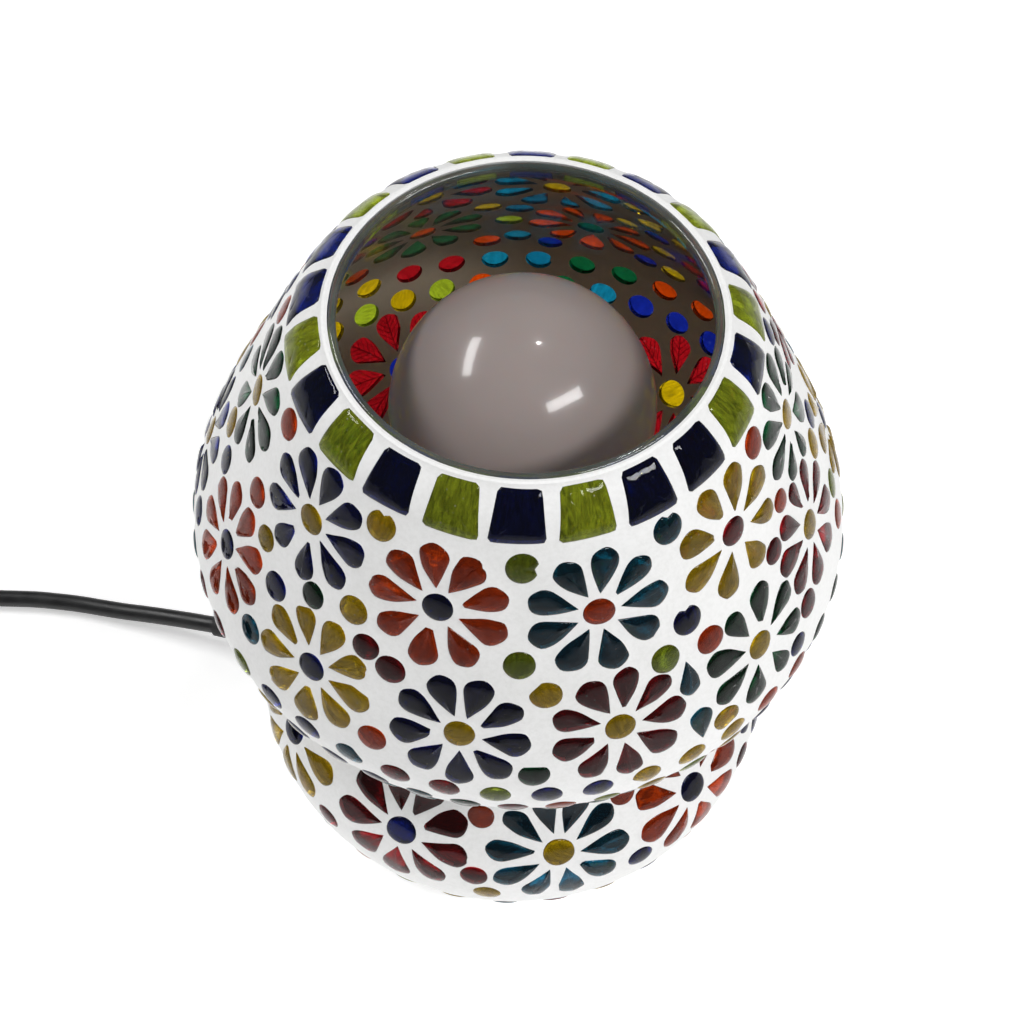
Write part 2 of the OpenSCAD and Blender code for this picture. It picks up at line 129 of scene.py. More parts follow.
def bump(nt, height, dist, strength=1.0, normal=None):
    b = node(nt, "ShaderNodeBump")
    b.inputs["Distance"].default_value = dist
    b.inputs["Strength"].default_value = strength
    nt.links.new(height, b.inputs["Height"])
    if normal is not None:
        nt.links.new(normal, b.inputs["Normal"])
    return b.outputs["Normal"]


def mul(c, k):
    return tuple(min(1.0, x * k) for x in c)


def simple_mat(name, dark, light, scale, rough=(0.3, 0.5), bump_d=0.00003, metallic=0.0, stretch=(1, 1, 1), fine=None, **kw):
    """A procedural surface: two tones by noise, roughness by the same noise, and a small bump."""
    m, nt, out = new_mat(name)
    b = principled(nt, Metallic=metallic, **kw)
    v = coords(nt, stretch)
    a = noise_tex(nt, v, scale, 4.0, 0.6)
    nt.links.new(ramp(nt, a.outputs["Fac"], [(0.3, dark), (0.7, light)]), b.inputs["Base Color"])
    nt.links.new(map_range(nt, a.outputs["Fac"], rough[0], rough[1], 0.3, 0.7), b.inputs["Roughness"])
    f = noise_tex(nt, v, fine or scale * 6, 3.0, 0.6)
    nt.links.new(bump(nt, f.outputs["Fac"], bump_d), b.inputs["Normal"])
    nt.links.new(b.outputs["BSDF"], out.inputs["Surface"])
    return m


def give(name, mat):
    o = N[name]
    o.data.materials.clear()
    o.data.materials.append(mat)


def link(o):
    scene.collection.objects.link(o)
    return o


def mesh_obj(name, verts, faces, mats=(), smooth=True, slots=None, sharp=None):
    me = bpy.data.meshes.new(name)
    me.from_pydata([tuple(v) for v in verts], [], faces)
    for m in mats:
        me.materials.append(m)
    if slots is not None:
        me.polygons.foreach_set("material_index", np.asarray(slots, dtype=np.int32))
    me.polygons.foreach_set("use_smooth", [smooth] * len(me.polygons))
    if sharp is not None:
        me.set_sharp_from_angle(angle=math.radians(sharp))
    me.update()
    return link(bpy.data.objects.new(name, me))


# ------------------------------------------------------------------ cords first
CORD_D = 0.0046
black_flex = simple_mat("black_flex", (0.008, 0.008, 0.009), (0.02, 0.02, 0.021), 220.0, (0.34, 0.5), 0.00002, fine=2600.0)

ROUTE_A = [(-80.2, 20.05, 8.75), (-82, 20.5, 8.3), (-88.5, 22.3, 6.8), (-95.5, 24, 5.5), (-101.5, 25.3, 4.5), (-108, 26.5, 3.6), (-114.5, 27.8, 2.95), (-121, 29, 2.5),
           (-127, 29.6, 2.46), (-133, 30, 2.44), (-139, 30, 2.44), (-144, 30, 2.44), (-149, 30, 2.9), (-153, 30, 4.4), (-157, 30, 5.6), (-160, 30, 6), (-163, 30, 6)]
ROUTE_B = [(-229, 30, 6), (-232, 30, 6), (-235.5, 30, 5.6), (-239.5, 30, 4.3), (-244, 30, 2.8), (-249, 30, 2.44), (-256.5, 28.5, 2.44), (-263, 24, 2.44),
           (-267.4, 17.5, 2.44), (-268.85, 10, 2.44), (-267.4, 2.5, 2.44), (-263, -4, 2.44), (-256.5, -8.5, 2.44), (-249, -10, 2.44), (-238, -10, 2.44), (-226, -10, 2.44), (-214, -10, 2.44)]
ROUTE_C = [(-182, -17.5, 12), (-176, -26, 13.8), (-174, -36, 15.6), (-175.5, -43.5, 17.3), (-180, -50, 19), (-186.5, -54.5, 20.3), (-194, -56, 20.9), (-199, -56, 20.9)]
COIL_C = (-200.0, -36.0)
SLOTS = [(26, 2.44), (30.6, 2.44), (30.6, 6.9), (30.6, 11.5), (26, 6.9), (21.4, 2.44), (21.4, 6.9), (21.4, 11.5), (26, 11.5)]


def coil_points():
    pts = []
    steps = 18
    total = 9 * 360 + 30
    k = 0
    while True:
        p = k * 360.0 / steps
        if p > total:
            break
        i = int(p // 360)
        f = p - i * 360
        a = SLOTS[min(i, 8)]
        if i >= 9:
            r, z = 26.0, 11.5
        elif i == 0:
            r, z = a
        else:
            # the cord climbs or steps across between 60 and 130 degrees of each turn
            prev = SLOTS[i - 1]
            t = min(1.0, max(0.0, (f - 60) / 70.0))
            t = t * t * (3 - 2 * t)
            r = prev[0] + (a[0] - prev[0]) * t
            z = prev[1] + (a[1] - prev[1]) * t
        ang = math.radians(90 - p)
        pts.append((COIL_C[0] + r * math.cos(ang), COIL_C[1] + r * math.sin(ang), z))
        k += 1
    return pts


def cord_curve(name, pts, mat):
    cu = bpy.data.curves.new(name, "CURVE")
    cu.dimensions = "3D"
    cu.bevel_depth = CORD_D / 2
    cu.bevel_resolution = 5
    cu.resolution_u = 5
    cu.use_fill_caps = True
    sp = cu.splines.new("BEZIER")
    sp.bezier_points.add(len(pts) - 1)
    for bp, p in zip(sp.bezier_points, pts):
        bp.co = Vector(p) * MM
        bp.handle_left_type = bp.handle_right_type = "AUTO"
    cu.materials.append(mat)
    return link(bpy.data.objects.new(name, cu))


flex_a = cord_curve("flex_lamp_to_switch", ROUTE_A, black_flex)
flex_b = cord_curve("flex_switch_to_plug", ROUTE_B + coil_points() + ROUTE_C, black_flex)
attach(flex_a, "lamp")
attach(flex_b, "lamp")
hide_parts("cord_to_switch")
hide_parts("cord_to_coil", "cord_coil", "cord_to_plug")


# ------------------------------------------------------------------ the vessel's line
PROF = np.array([
    (45, 180), (48, 175), (51, 169.5), (54.5, 163), (58, 155.5), (62, 147.5), (65.5, 140), (69, 132),
    (72, 124.5), (74.5, 117.5), (76, 111.5), (76.5, 106.5), (76, 101.5), (74.5, 96), (72, 90.5), (68.5, 85),
    (64.5, 79.5), (60.5, 74), (57, 69), (54.8, 64.5), (54, 60), (54.5, 55.5), (56.5, 50.5), (59.5, 46.5),
    (62, 42.5), (64, 38), (65, 33), (65, 28), (64.2, 22.5), (62.5, 17.5), (59.5, 13), (55.5, 9), (50, 5.5)], float)
ALONG = np.concatenate([[0], np.cumsum(np.linalg.norm(np.diff(PROF, axis=0), axis=1))])
PROF[0:5] = [(43.8, 180.2), (49.0, 175.5), (52.1, 170.0), (55.4, 163.3), (58.6, 155.7)]   # the shoulder turns in softly at the mouth
S_END = float(ALONG[-1])


def spline(x, y):
    """Natural cubic spline through the points, as a function that runs on straight past its ends."""
    n = len(x)
    h = np.diff(x)
    A = np.zeros((n, n))
    b = np.zeros(n)
    A[0, 0] = A[-1, -1] = 1
    for i in range(1, n - 1):
        A[i, i - 1], A[i, i], A[i, i + 1] = h[i - 1], 2 * (h[i - 1] + h[i]), h[i]
        b[i] = 6 * ((y[i + 1] - y[i]) / h[i] - (y[i] - y[i - 1]) / h[i - 1])
    M = np.linalg.solve(A, b)

    def f(t):
        t = np.asarray(t, float)
        tc = np.clip(t, x[0], x[-1])
        i = np.clip(np.searchsorted(x, tc) - 1, 0, n - 2)
        hh = h[i]
        u, v = x[i + 1] - tc, tc - x[i]
        val = (M[i] * u**3 + M[i + 1] * v**3) / (6 * hh) + (y[i] / hh - M[i] * hh / 6) * u + (y[i + 1] / hh - M[i + 1] * hh / 6) * v
        s0 = (y[1] - y[0]) / h[0] - h[0] * (2 * M[0] + M[1]) / 6
        s1 = (y[-1] - y[-2]) / h[-1] + h[-1] * M[-2] / 6
        return val + np.where(t < x[0], (t - x[0]) * s0, 0) + np.where(t > x[-1], (t - x[-1]) * s1, 0)
    return f


R_OF, Z_OF = spline(ALONG, PROF[:, 0]), spline(ALONG, PROF[:, 1])


def normals(s):
    dr = (R_OF(s + 0.4) - R_OF(s - 0.4))
    dz = (Z_OF(s + 0.4) - Z_OF(s - 0.4))
    k = np.sqrt(dr * dr + dz * dz)
    return -dz / k, dr / k


def place(az, s, h):
    """Points on the vessel: azimuth in degrees, distance down the line and height above it in mm. Returns metres."""
    az, s, h = np.broadcast_arrays(np.asarray(az, float), np.asarray(s, float), np.asarray(h, float))
    nr, nz = normals(s)
    r = R_OF(s) + h * nr
    z = Z_OF(s) + h * nz
    a = np.radians(az)
    return np.stack([r * np.cos(a), r * np.sin(a), z], axis=-1) * MM


# ------------------------------------------------------------------ mosaic layout
NAVY, TEAL, RUSSET, MAROON, AMBER, GREEN, OLIVE = range(7)
FLOWERS = [
    (185, 27.2, 9, 12, 5, 4, 1), (221, 27, 9, 12, 0, 4, 1), (254, 30, 9, -8, 2, 0, 1), (287, 30, 9, 10, 1, 2, 1), (321, 28, 8, 21, 4, 3, 1),
    (353, 26.5, 9, 0, 5, 4, 1), (23, 27, 9, 5, 3, 4, 1), (53.5, 28, 8, 0, 4, 0, 1), (83.5, 27, 9, -13, 1, 4, 1), (114, 27.2, 9, 0, 3, 4, 1), (149, 28, 9, 8, 0, 2, 1),
    (175, 63, 9, 5, 0, 4, 1), (203, 58, 9, 5, 2, 0, 1), (232, 61, 9, 5, 4, 0, 1), (261, 62, 9, 3, 0, 4, 1), (289, 62, 9, 8, 3, 4, 1),
    (319, 61, 8, -19, 5, 4, 1), (342.3, 51.6, 9, 23, 3, 4, 1), (12, 60, 9, 0, 4, 0, 1), (44, 58, 9, 10, 3, 1, 1), (77, 56, 9, 0, 2, 5, 1),
    (112, 57, 9, 6, 5, 2, 1), (144, 60, 9, 0, 4, 0, 1)]
FLOWERS += [(20 + 33 * k, 109, 9, 6 * k, (3, 3, 1, 3, 5, 0, 4, 1, 5, 2, 0)[k], (4, 4, 2, 0, 4, 2, 0, 4, 3, 4, 2)[k], 1.04) for k in range(11)]
FLOWERS += [
    (208, 152, 9, 10, 4, 0, 1.14), (245, 152, 9, 0, 3, 0, 1.14), (282, 152, 10, 12, 1, 4, 1.14), (318, 152, 9, 5, 2, 0, 1.14),
    (354, 152, 9, 0, 0, 4, 1.14), (30, 152, 9, 0, 5, 4, 1.14), (66, 152, 9, 0, 4, 3, 1.14), (102, 152, 9, 0, 2, 0, 1.14),
    (137, 152, 9, 0, 1, 2, 1.14), (172, 152, 9, 0, 5, 4, 1.14)]
DOTS = [
    (170, 15.8, 2), (203, 15.8, 2), (238, 16, 4), (271, 17, 6), (305, 15.8, 1), (336, 15.6, 2), (8.4, 15.6, 0), (38.6, 15.7, 1), (68.1, 15.4, 0), (98.5, 15.8, 3), (131, 15.8, 5),
    (204, 38, 2), (212, 43, 4), (219, 50, 0), (227.7, 43.5, 5), (237, 40, 4), (241.4, 47.2, 3), (247, 50, 3), (271, 42, 6), (276, 50, 4),
    (299, 48, 6), (305, 41, 0), (308.8, 49.3, 2), (329.5, 43.3, 3), (337.0, 35.8, 2),
    (357.7, 45.4, 4), (4, 44, 0), (28, 47, 4), (34, 44, 5), (61, 45, 0), (68, 43, 4), (92, 46, 1), (99, 44, 4), (127, 47, 0), (134, 44, 4), (160, 45, 2), (167, 44, 1),
    (182.6, 44.4, 4), (189.3, 48.3, 0),
    (94, 56, 6), (128, 56, 3), (160, 56, 4), (28, 57, 1), (61, 57, 4),
    (189, 70, 0), (217, 67, 1), (246, 71, 2), (274, 73, 5), (309, 74, 4), (328, 73, 0), (333.4, 66.4, 3), (354, 68, 2), (357.1, 61, 6),
    (27, 70, 0), (60, 70, 4), (66, 69, 0), (85.6, 71.6, 0), (92, 68, 1), (98, 71, 2), (125, 72, 2), (130, 68, 0), (158, 71, 0)]
DOTS += [(242 + 8.57 * k, 81, (1, 6, 4, 2, 5, 3, 0, 4, 2, 1, 3, 0, 4, 5)[(k * 5 + k // 14) % 14]) for k in range(42)]
DOTS += [(238 + 8.18 * k, 90, (0, 3, 6, 0, 2, 4, 1, 6, 0, 5, 4)[(k * 3) % 11]) for k in range(44)]
DOTS += [(6 + 12 * k, 130, (0, 2, 4, 1, 3, 6, 5, 4, 0, 2)[k % 10]) for k in range(30)]
DOTS += [
    (226, 140, 4), (226, 165, 3), (263.3, 141.5, 2), (263, 160, 3), (266, 168, 4), (300, 141, 2), (301, 163, 0), (336, 141, 4), (336, 163, 3),
    (12, 141, 1), (12, 163, 4), (48, 141, 2), (48, 163, 0), (84, 141, 0), (84, 163, 6), (119.4, 140.4, 4), (120, 163, 3), (154.7, 140.4, 3), (154, 163, 2), (190, 141, 0), (190, 163, 4)]
DOTS += [(6 + 12 * k, 181, (4, 1, 3, 4, 0, 2, 6)[k % 7]) for k in range(30) if abs(6 + 12 * k - 166) > 10]
FILL_PETALS = [(303, 56, 0), (304, 71, 180)]
RIM_NAVY = [0, 2, 3, 5, 7, 9, 11, 13, 15, 16, 18, 20]


# ------------------------------------------------------------------ outlines of the pieces of glass, in mm
def resample(p, n):
    p = np.vstack([p, p[:1]])
    d = np.concatenate([[0], np.cumsum(np.linalg.norm(np.diff(p, axis=0), axis=1))])
    t = np.linspace(0, d[-1], n, endpoint=False)
    return np.stack([np.interp(t, d, p[:, 0]), np.interp(t, d, p[:, 1])], axis=1)


def clip(p, nx, ny, d):
    """Keeps the part of a closed outline where nx*x + ny*y <= d."""
    out = []
    for i in range(len(p)):
        a, b = p[i], p[(i + 1) % len(p)]
        fa, fb = nx * a[0] + ny * a[1] - d, nx * b[0] + ny * b[1] - d
        if fa <= 0:
            out.append(a)
        if (fa < 0) != (fb < 0) and abs(fa - fb) > 1e-9:
            out.append(a + (b - a) * (fa / (fa - fb)))
    return np.array(out)


def soften(p, k=0.25):
    q = []
    for i in range(len(p)):
        a, b = p[i], p[(i + 1) % len(p)]
        q += [a + (b - a) * k, a + (b - a) * (1 - k)]
    return np.array(q)


def smooth_closed(ctrl, per=6, sharp=()):
    """Catmull-Rom through the control points; at a sharp point the line may turn a corner."""
    n = len(ctrl)
    out = []
    for i in range(n):
        p0, p1, p2, p3 = ctrl[i - 1], ctrl[i], ctrl[(i + 1) % n], ctrl[(i + 2) % n]
        t1 = (p2 - p0) / 2 if i not in sharp else (p2 - p1) * 0.8
        t2 = (p3 - p1) / 2 if (i + 1) % n not in sharp else (p2 - p1) * 0.8
        for j in range(per):
            t = j / per
            out.append((2 * t**3 - 3 * t**2 + 1) * p1 + (t**3 - 2 * t**2 + t) * t1 + (-2 * t**3 + 3 * t**2) * p2 + (t**3 - t**2) * t2)
    return np.array(out)


def petal_outline(l, w, rnd, plain=False):
    l, w = l * rnd.uniform(0.95, 1.03), w * rnd.uniform(0.92, 1.1)
    k = rnd.uniform(-0.05, 0.05)
    c = np.array([(-l * 0.5, 0), (-l * 0.28, -w * 0.19), (-l * 0.05, -w * 0.375), (l * 0.18, -w * (0.49 + k)), (l * 0.37, -w * 0.40), (l * 0.5, -w * 0.02),
                  (l * 0.37, w * 0.41), (l * 0.18, w * (0.49 - k)), (-l * 0.05, w * 0.375), (-l * 0.28, w * 0.19)])
    c[:, 1] += rnd.uniform(-0.35, 0.35) * (c[:, 0] / l) ** 2 * 1.6
    p = smooth_closed(c, 5, sharp=(0,))
    roll = rnd.random()
    if not plain:
        if roll < 0.22:     # blunt tip
            p = clip(p, -1, rnd.uniform(-0.4, 0.4), l * 0.5 - rnd.uniform(0.7, 1.7))
        elif roll < 0.29:   # a cut across the round end
            a = rnd.uniform(-0.7, 0.7)
            p = clip(p, math.cos(a), math.sin(a), l * 0.5 - rnd.uniform(0.4, 0.9))
        elif roll < 0.35:   # one flat side
            sgn = rnd.choice((-1, 1))
            p = clip(p, rnd.uniform(-0.15, 0.15), sgn, w * 0.5 - rnd.uniform(0.4, 0.8))
        elif roll < 0.42:   # a nick in the round end
            a = rnd.uniform(-0.9, 0.9)
            q = np.array([l * 0.5 * math.cos(a), w * 0.5 * math.sin(a)])
            d = p - q
            e = np.linalg.norm(d, axis=1)
            near = e < 0.8
            p[near] = p[near] - (q / np.linalg.norm(q)) * (0.8 - e[near])[:, None] * 0.8
    p = soften(p, 0.22)
    return resample(p, 30)


NICKS = {(271, 17): (85, 0), (238, 16): (180, 0), (305, 15.8): (170, 0), (305, 41): (180, 0), (274, 73): (180, 1)}


def nicked_dot(d, rnd, where):
    """A round piece with a bite (0) or a flat cut (1) at an angle measured from straight down."""
    t = np.linspace(0, 2 * np.pi, 80, endpoint=False)
    r = d / 2 * (1 + 0.02 * np.cos(2 * t + 1) + 0.01 * np.cos(3 * t))
    p = np.stack([r * np.cos(t), r * np.sin(t)], axis=1)
    a = math.radians(where[0])
    u = np.array([math.cos(a), math.sin(a)])
    if where[1]:
        p = clip(p, u[0], u[1], d / 2 - 0.95)
    else:
        c = u * d * 0.53
        e = np.linalg.norm(p - c, axis=1)
        near = e < 1.35
        p[near] -= u * (1.35 - e[near])[:, None] * 0.9
    return resample(soften(p, 0.25), 30)


def dot_outline(d, rnd, whole=False):
    t = np.linspace(0, 2 * np.pi, 60, endpoint=False)
    a, b = rnd.uniform(0, 6.28), rnd.uniform(0, 6.28)
    r = d / 2 * (1 + rnd.uniform(0.0, 0.035) * np.cos(2 * t + a) + rnd.uniform(0, 0.018) * np.cos(3 * t + b) + rnd.uniform(0, 0.01) * np.cos(5 * t + a * b))
    p = np.stack([r * np.cos(t), r * np.sin(t)], axis=1)
    roll = 1.0 if whole else rnd.random()
    if roll < 0.09:
        q = rnd.uniform(0, 6.28)
        p = clip(p, math.cos(q), math.sin(q), d / 2 - rnd.uniform(0.35, 0.9))
    elif roll < 0.12:
        q = rnd.uniform(0, 6.28)
        c = np.array([math.cos(q), math.sin(q)]) * d / 2
        e = np.linalg.norm(p - c, axis=1)
        near = e < 0.95
        p[near] -= (c / np.linalg.norm(c)) * (0.95 - e[near])[:, None] * 0.75
    return resample(soften(p, 0.25), 26)


def rim_outline(rnd):
    h, w = 10.9, 11.0
    j = lambda: rnd.uniform(-0.4, 0.4)
    c = np.array([(-h / 2 + 0.3 * j(), -w * 0.455 + j()), (h / 2 + 0.8 * j(), -w * 0.53 + j()), (h / 2 + 0.8 * j(), w * 0.53 + j()), (-h / 2 + 0.3 * j(), w * 0.455 + j())])
    fine = []
    for i in range(4):
        a, b = c[i], c[(i + 1) % 4]
        n = np.array([-(b - a)[1], (b - a)[0]])
        n /= np.linalg.norm(n)
        bow = rnd.uniform(-0.12, 0.12)
        for t in np.linspace(0.05, 0.95, 9):
            fine.append(a + (b - a) * t + n * bow * math.sin(math.pi * t))
    return resample(soften(np.array(fine), 0.25), 36)


class Tile:
    def __init__(self, group, az, s, outline, rot, medial, kind):
        self.group, self.az, self.s, self.kind = group, az, s, kind
        t = math.radians(rot)
        self.rot = t
        c, n = math.cos(t), math.sin(t)
        self.M = np.array([[c, -n], [n, c]])
        self.local = outline            # x along the piece, y across
        self.medial = medial            # (x from, x to) of the middle line
        self.rand = rng.random()
        self.R0 = float(R_OF(s))

    def unrolled(self, p):
        """Local points to (azimuth degrees, s)."""
        q = p @ self.M.T
        return np.stack([self.az + np.degrees(q[:, 1] / self.R0), self.s + q[:, 0]], axis=1)


tiles = []
COLOURS = ("navy", "teal", "russet", "maroon", "amber", "green", "olive")
for fi, (az, s, n, first, pc, cc, size) in enumerate(FLOWERS):
    reach = 10.35 * size
    for k in range(n):
        t = first + 360 * k / n
        ss = s + reach * math.cos(math.radians(t))
        aa = az + math.degrees(reach * math.sin(math.radians(t)) / float(R_OF(s)))
        l, w = 11.5 * size, (6.6 if n < 10 else 5.8) * size
        tiles.append(Tile("petals_" + COLOURS[pc], aa, ss, petal_outline(l, w, rng), t + rng.uniform(-3, 3), (-l * 0.33, l * 0.26), "petal"))
    tiles.append(Tile("dots_" + COLOURS[cc], az, s, dot_outline(7.0 * size, rng, True), rng.uniform(0, 360), (0, 0), "dot"))
for az, s, turn in FILL_PETALS:
    tiles.append(Tile("petals_teal", az, s, petal_outline(10, 5.6, rng, True), turn, (-3.3, 2.6), "petal"))
for az, s, c in DOTS:
    nick = NICKS.get((az, s))
    tiles.append(Tile("dots_" + COLOURS[c], az, s, nicked_dot(7.2, rng, nick) if nick else dot_outline(7.1, rng), 0 if nick else rng.uniform(0, 360), (0, 0), "dot"))
for k in range(22):
    tiles.append(Tile("rim_tiles_navy" if k in RIM_NAVY else "rim_tiles_green", 270 + k * 360 / 22, 5.75, rim_outline(rng), 0, (-2.4, 2.4), "rim"))

# pieces that come too near each other are ground down a little, as they would be by hand
def shrink_touching(rounds=10, gap=0.30):
    for _ in range(rounds):
        cen = np.array([place(t.az, t.s, 0) / MM for t in tiles])
        world = [place(*t.unrolled(t.local).T, 0.3) / MM for t in tiles]
        hit = set()
        for i in range(len(tiles)):
            d = np.linalg.norm(cen[i + 1:] - cen[i], axis=1)
            for j in np.nonzero(d < 13)[0] + i + 1:
                A, B = world[i], world[j]
                n1 = np.linalg.norm(A[:, None] - B[None], axis=2).min()
                if n1 < gap:
                    hit.add(i)
                    hit.add(int(j))
                elif n1 < 1.6:
                    u = cen[j] - cen[i]
                    u /= np.linalg.norm(u)
                    if ((A @ u).max() - (B @ u).min()) > -gap * 0.3 and n1 < 0.5:
                        hit.add(i)
        if not hit:
            break
        for i in hit:
            t = tiles[i]
            t.local = t.local * 0.965
    return len(hit)


shrink_touching()

# ------------------------------------------------------------------ the grout coat, with a hole for each piece of glass
KX = 1.2                     # mm of unrolled width for each degree
WIDTH = 360 * KX
MARGIN = 16.0
BASE = 0.0
CORD_AZ, CORD_S = 166.0, float(np.interp(-13.5, -Z_OF(np.linspace(100, S_END, 2000)), np.linspace(100, S_END, 2000)))
GLASS_H = -2.40              # the vessel's outer wall, below the grout's face

outlines = []
for t in tiles:
    q = t.unrolled(t.local)
    outlines.append(np.stack([(q[:, 0] % 360 if False else q[:, 0]) * KX, q[:, 1]], axis=1))
tt = np.linspace(0, 2 * np.pi, 32, endpoint=False)
hole = np.stack([(CORD_AZ + np.degrees(5.1 * np.sin(tt) / float(R_OF(CORD_S)))) * KX, CORD_S + 5.1 * np.cos(tt)], axis=1)
outlines.append(hole)
shifted = []
for o in outlines:
    o = o - np.array([math.floor(o[:, 0].mean() / WIDTH) * WIDTH, 0])
    for k in (-1, 0, 1):
        q = o + np.array([k * WIDTH, 0])
        if q[:, 0].max() > -MARGIN and q[:, 0].min() < WIDTH + MARGIN:
            shifted.append(q)


def inside_many(pts, poly):
    x, y = pts[:, 0], pts[:, 1]
    c = np.zeros(len(pts), bool)
    x1, y1 = poly[:, 0], poly[:, 1]
    x2, y2 = np.roll(x1, 1), np.roll(y1, 1)
    for i in range(len(poly)):
        if y1[i] == y2[i]:
            continue
        m = (y1[i] > y) != (y2[i] > y)
        c ^= m & (x < (x2[i] - x1[i]) * (y - y1[i]) / (y2[i] - y1[i]) + x1[i])
    return c


def build_grout():
    step = 1.9
    ns = int(S_END / step)
    nx = int(WIDTH / step)
    r = np.random.default_rng(3)
    gx, gy = np.meshgrid((np.arange(nx) + 0.5) * WIDTH / nx, (np.arange(1, ns)) * S_END / ns)
    gx = (gx + (np.arange(1, ns)[:, None] % 2) * WIDTH / nx / 2 + r.uniform(-0.3, 0.3, gx.shape) * step).ravel() % WIDTH
    gy = (gy + r.uniform(-0.25, 0.25, gy.shape) * step).ravel()
    edge_x = (np.arange(220) + 0.5) * WIDTH / 220
    pts = np.concatenate([np.stack([gx, gy], 1), np.stack([edge_x, np.zeros(220)], 1), np.stack([edge_x, np.full(220, S_END)], 1)])
    on_edge = np.concatenate([np.zeros(len(gx), bool), np.ones(440, bool)])
    keep = np.ones(len(pts), bool)
    order = np.argsort(pts[:, 0])
    xs = pts[order, 0]
    near = 0.55
    for o in shifted:
        lo, hi = o.min(0) - near, o.max(0) + near
        a, b = np.searchsorted(xs, lo[0]), np.searchsorted(xs, hi[0])
        idx = order[a:b]
        idx = idx[(pts[idx, 1] > lo[1]) & (pts[idx, 1] < hi[1]) & ~on_edge[idx]]
        if len(idx) == 0:
            continue
        p = pts[idx]
        ins = inside_many(p, o)
        A, B = o, np.roll(o, -1, 0)
        d = B - A
        t = np.clip(((p[:, None] - A) * d).sum(-1) / (d * d).sum(-1), 0, 1)
        dist = np.linalg.norm(p[:, None] - A - t[..., None] * d, axis=-1).min(1)
        keep[idx[ins | (dist < near)]] = False
    pts = pts[keep]
    full = [pts]
    for k in (-1, 1):
        q = pts + np.array([k * WIDTH, 0])
        full.append(q[(q[:, 0] > -MARGIN) & (q[:, 0] < WIDTH + MARGIN)])
    verts = [tuple(p) for p in np.vstack(full)]
    edges = []
    for o in shifted:
        b = len(verts)
        verts += [tuple(p) for p in o]
        m = len(o)
        edges += [(b + i, b + (i + 1) % m) for i in range(m)]
    v, e, f, _, _, _ = geometry.delaunay_2d_cdt([Vector(p) for p in verts], edges, [], 0, 1e-5)
    V = np.array([(p[0], p[1]) for p in v])
    F = np.array([q for q in f if len(q) == 3])
    cen = V[F].mean(1)
    ok = (cen[:, 0] >= 0) & (cen[:, 0] < WIDTH)
    F, cen = F[ok], cen[ok]
    drop = np.zeros(len(F), bool)
    order = np.argsort(cen[:, 0])
    xs = cen[order, 0]
    for o in shifted:
        lo, hi = o.min(0), o.max(0)
        idx = order[np.searchsorted(xs, lo[0]):np.searchsorted(xs, hi[0])]
        idx = idx[(cen[idx, 1] > lo[1]) & (cen[idx, 1] < hi[1])]
        if len(idx):
            drop[idx[inside_many(cen[idx], o)]] = True
    F = F[~drop]
    # one vertex for each place, with the two sides of the cut joined
    key = {}
    ids = np.full(len(V), -1)
    uni = []
    for i in np.unique(F):
        x = V[i, 0] % WIDTH
        kx, ky = int(round(x * 200)) % int(round(WIDTH * 200)), int(round(V[i, 1] * 200))
        if (kx, ky) not in key:
            key[(kx, ky)] = len(uni)
            uni.append((x, V[i, 1]))
        ids[i] = key[(kx, ky)]
    F = ids[F]
    F = F[(F[:, 0] != F[:, 1]) & (F[:, 1] != F[:, 2]) & (F[:, 0] != F[:, 2])]
    U = np.array(uni)
    # keep all faces turned the same way
    P = place(U[:, 0] / KX, U[:, 1], 0.0)
    nrm = np.cross(P[F[:, 1]] - P[F[:, 0]], P[F[:, 2]] - P[F[:, 0]])
    c3 = P[F].mean(1)
    nr, nz = normals(U[F].mean(1)[:, 1])
    aa = np.arctan2(c3[:, 1], c3[:, 0])
    outward = np.stack([nr * np.cos(aa), nr * np.sin(aa), nz], 1)
    flip = (nrm * outward).sum(1) < 0
    F[flip] = F[flip][:, ::-1]
    return U, F


U, F = build_grout()
n_u = len(U)
edge_count = {}
for tri in F:
    for a, b in ((tri[0], tri[1]), (tri[1], tri[2]), (tri[2], tri[0])):
        edge_count[(int(a), int(b))] = edge_count.get((int(a), int(b)), 0) + 1
border = [(a, b) for (a, b) in edge_count if (b, a) not in edge_count]
rim_v = set(v for e in border for v in e)
height = np.full(n_u, -0.16)
for i in range(n_u):
    a = math.radians(U[i, 0] / KX)
    s = U[i, 1]
    r = float(PROF[:, 0].mean())
    q = Vector((r * math.cos(a), r * math.sin(a), s))
    big = noise.noise(q * 0.11)
    mid = noise.noise(q * 0.33 + Vector((7, 3, 1)))
    small = noise.noise(q * 0.9 + Vector((1, 9, 5)))
    if i in rim_v:
        height[i] = -0.05 + 0.04 * mid + 0.03 * small
    else:
        height[i] = -0.17 + 0.09 * big + 0.07 * mid + 0.045 * small
outer = place(U[:, 0] / KX, U[:, 1], height)
inner = place(U[:, 0] / KX, U[:, 1], GLASS_H + 0.03)
verts = np.vstack([outer, inner])
faces = [tuple(int(x) for x in t) for t in F] + [tuple(int(x) + n_u for x in t[::-1]) for t in F]
slots = [0] * len(F) + [1] * len(F)
extra = []
for a, b in border:
    sa, sb = U[a, 1], U[b, 1]
    if (sa < 1e-3 and sb < 1e-3) or (sa > S_END - 1e-3 and sb > S_END - 1e-3):
        continue
    faces.append((b, a, a + n_u, b + n_u))
    slots.append(2)
# rounded edges at the mouth and at the foot
verts = list(map(tuple, verts))
ring_cache = {}


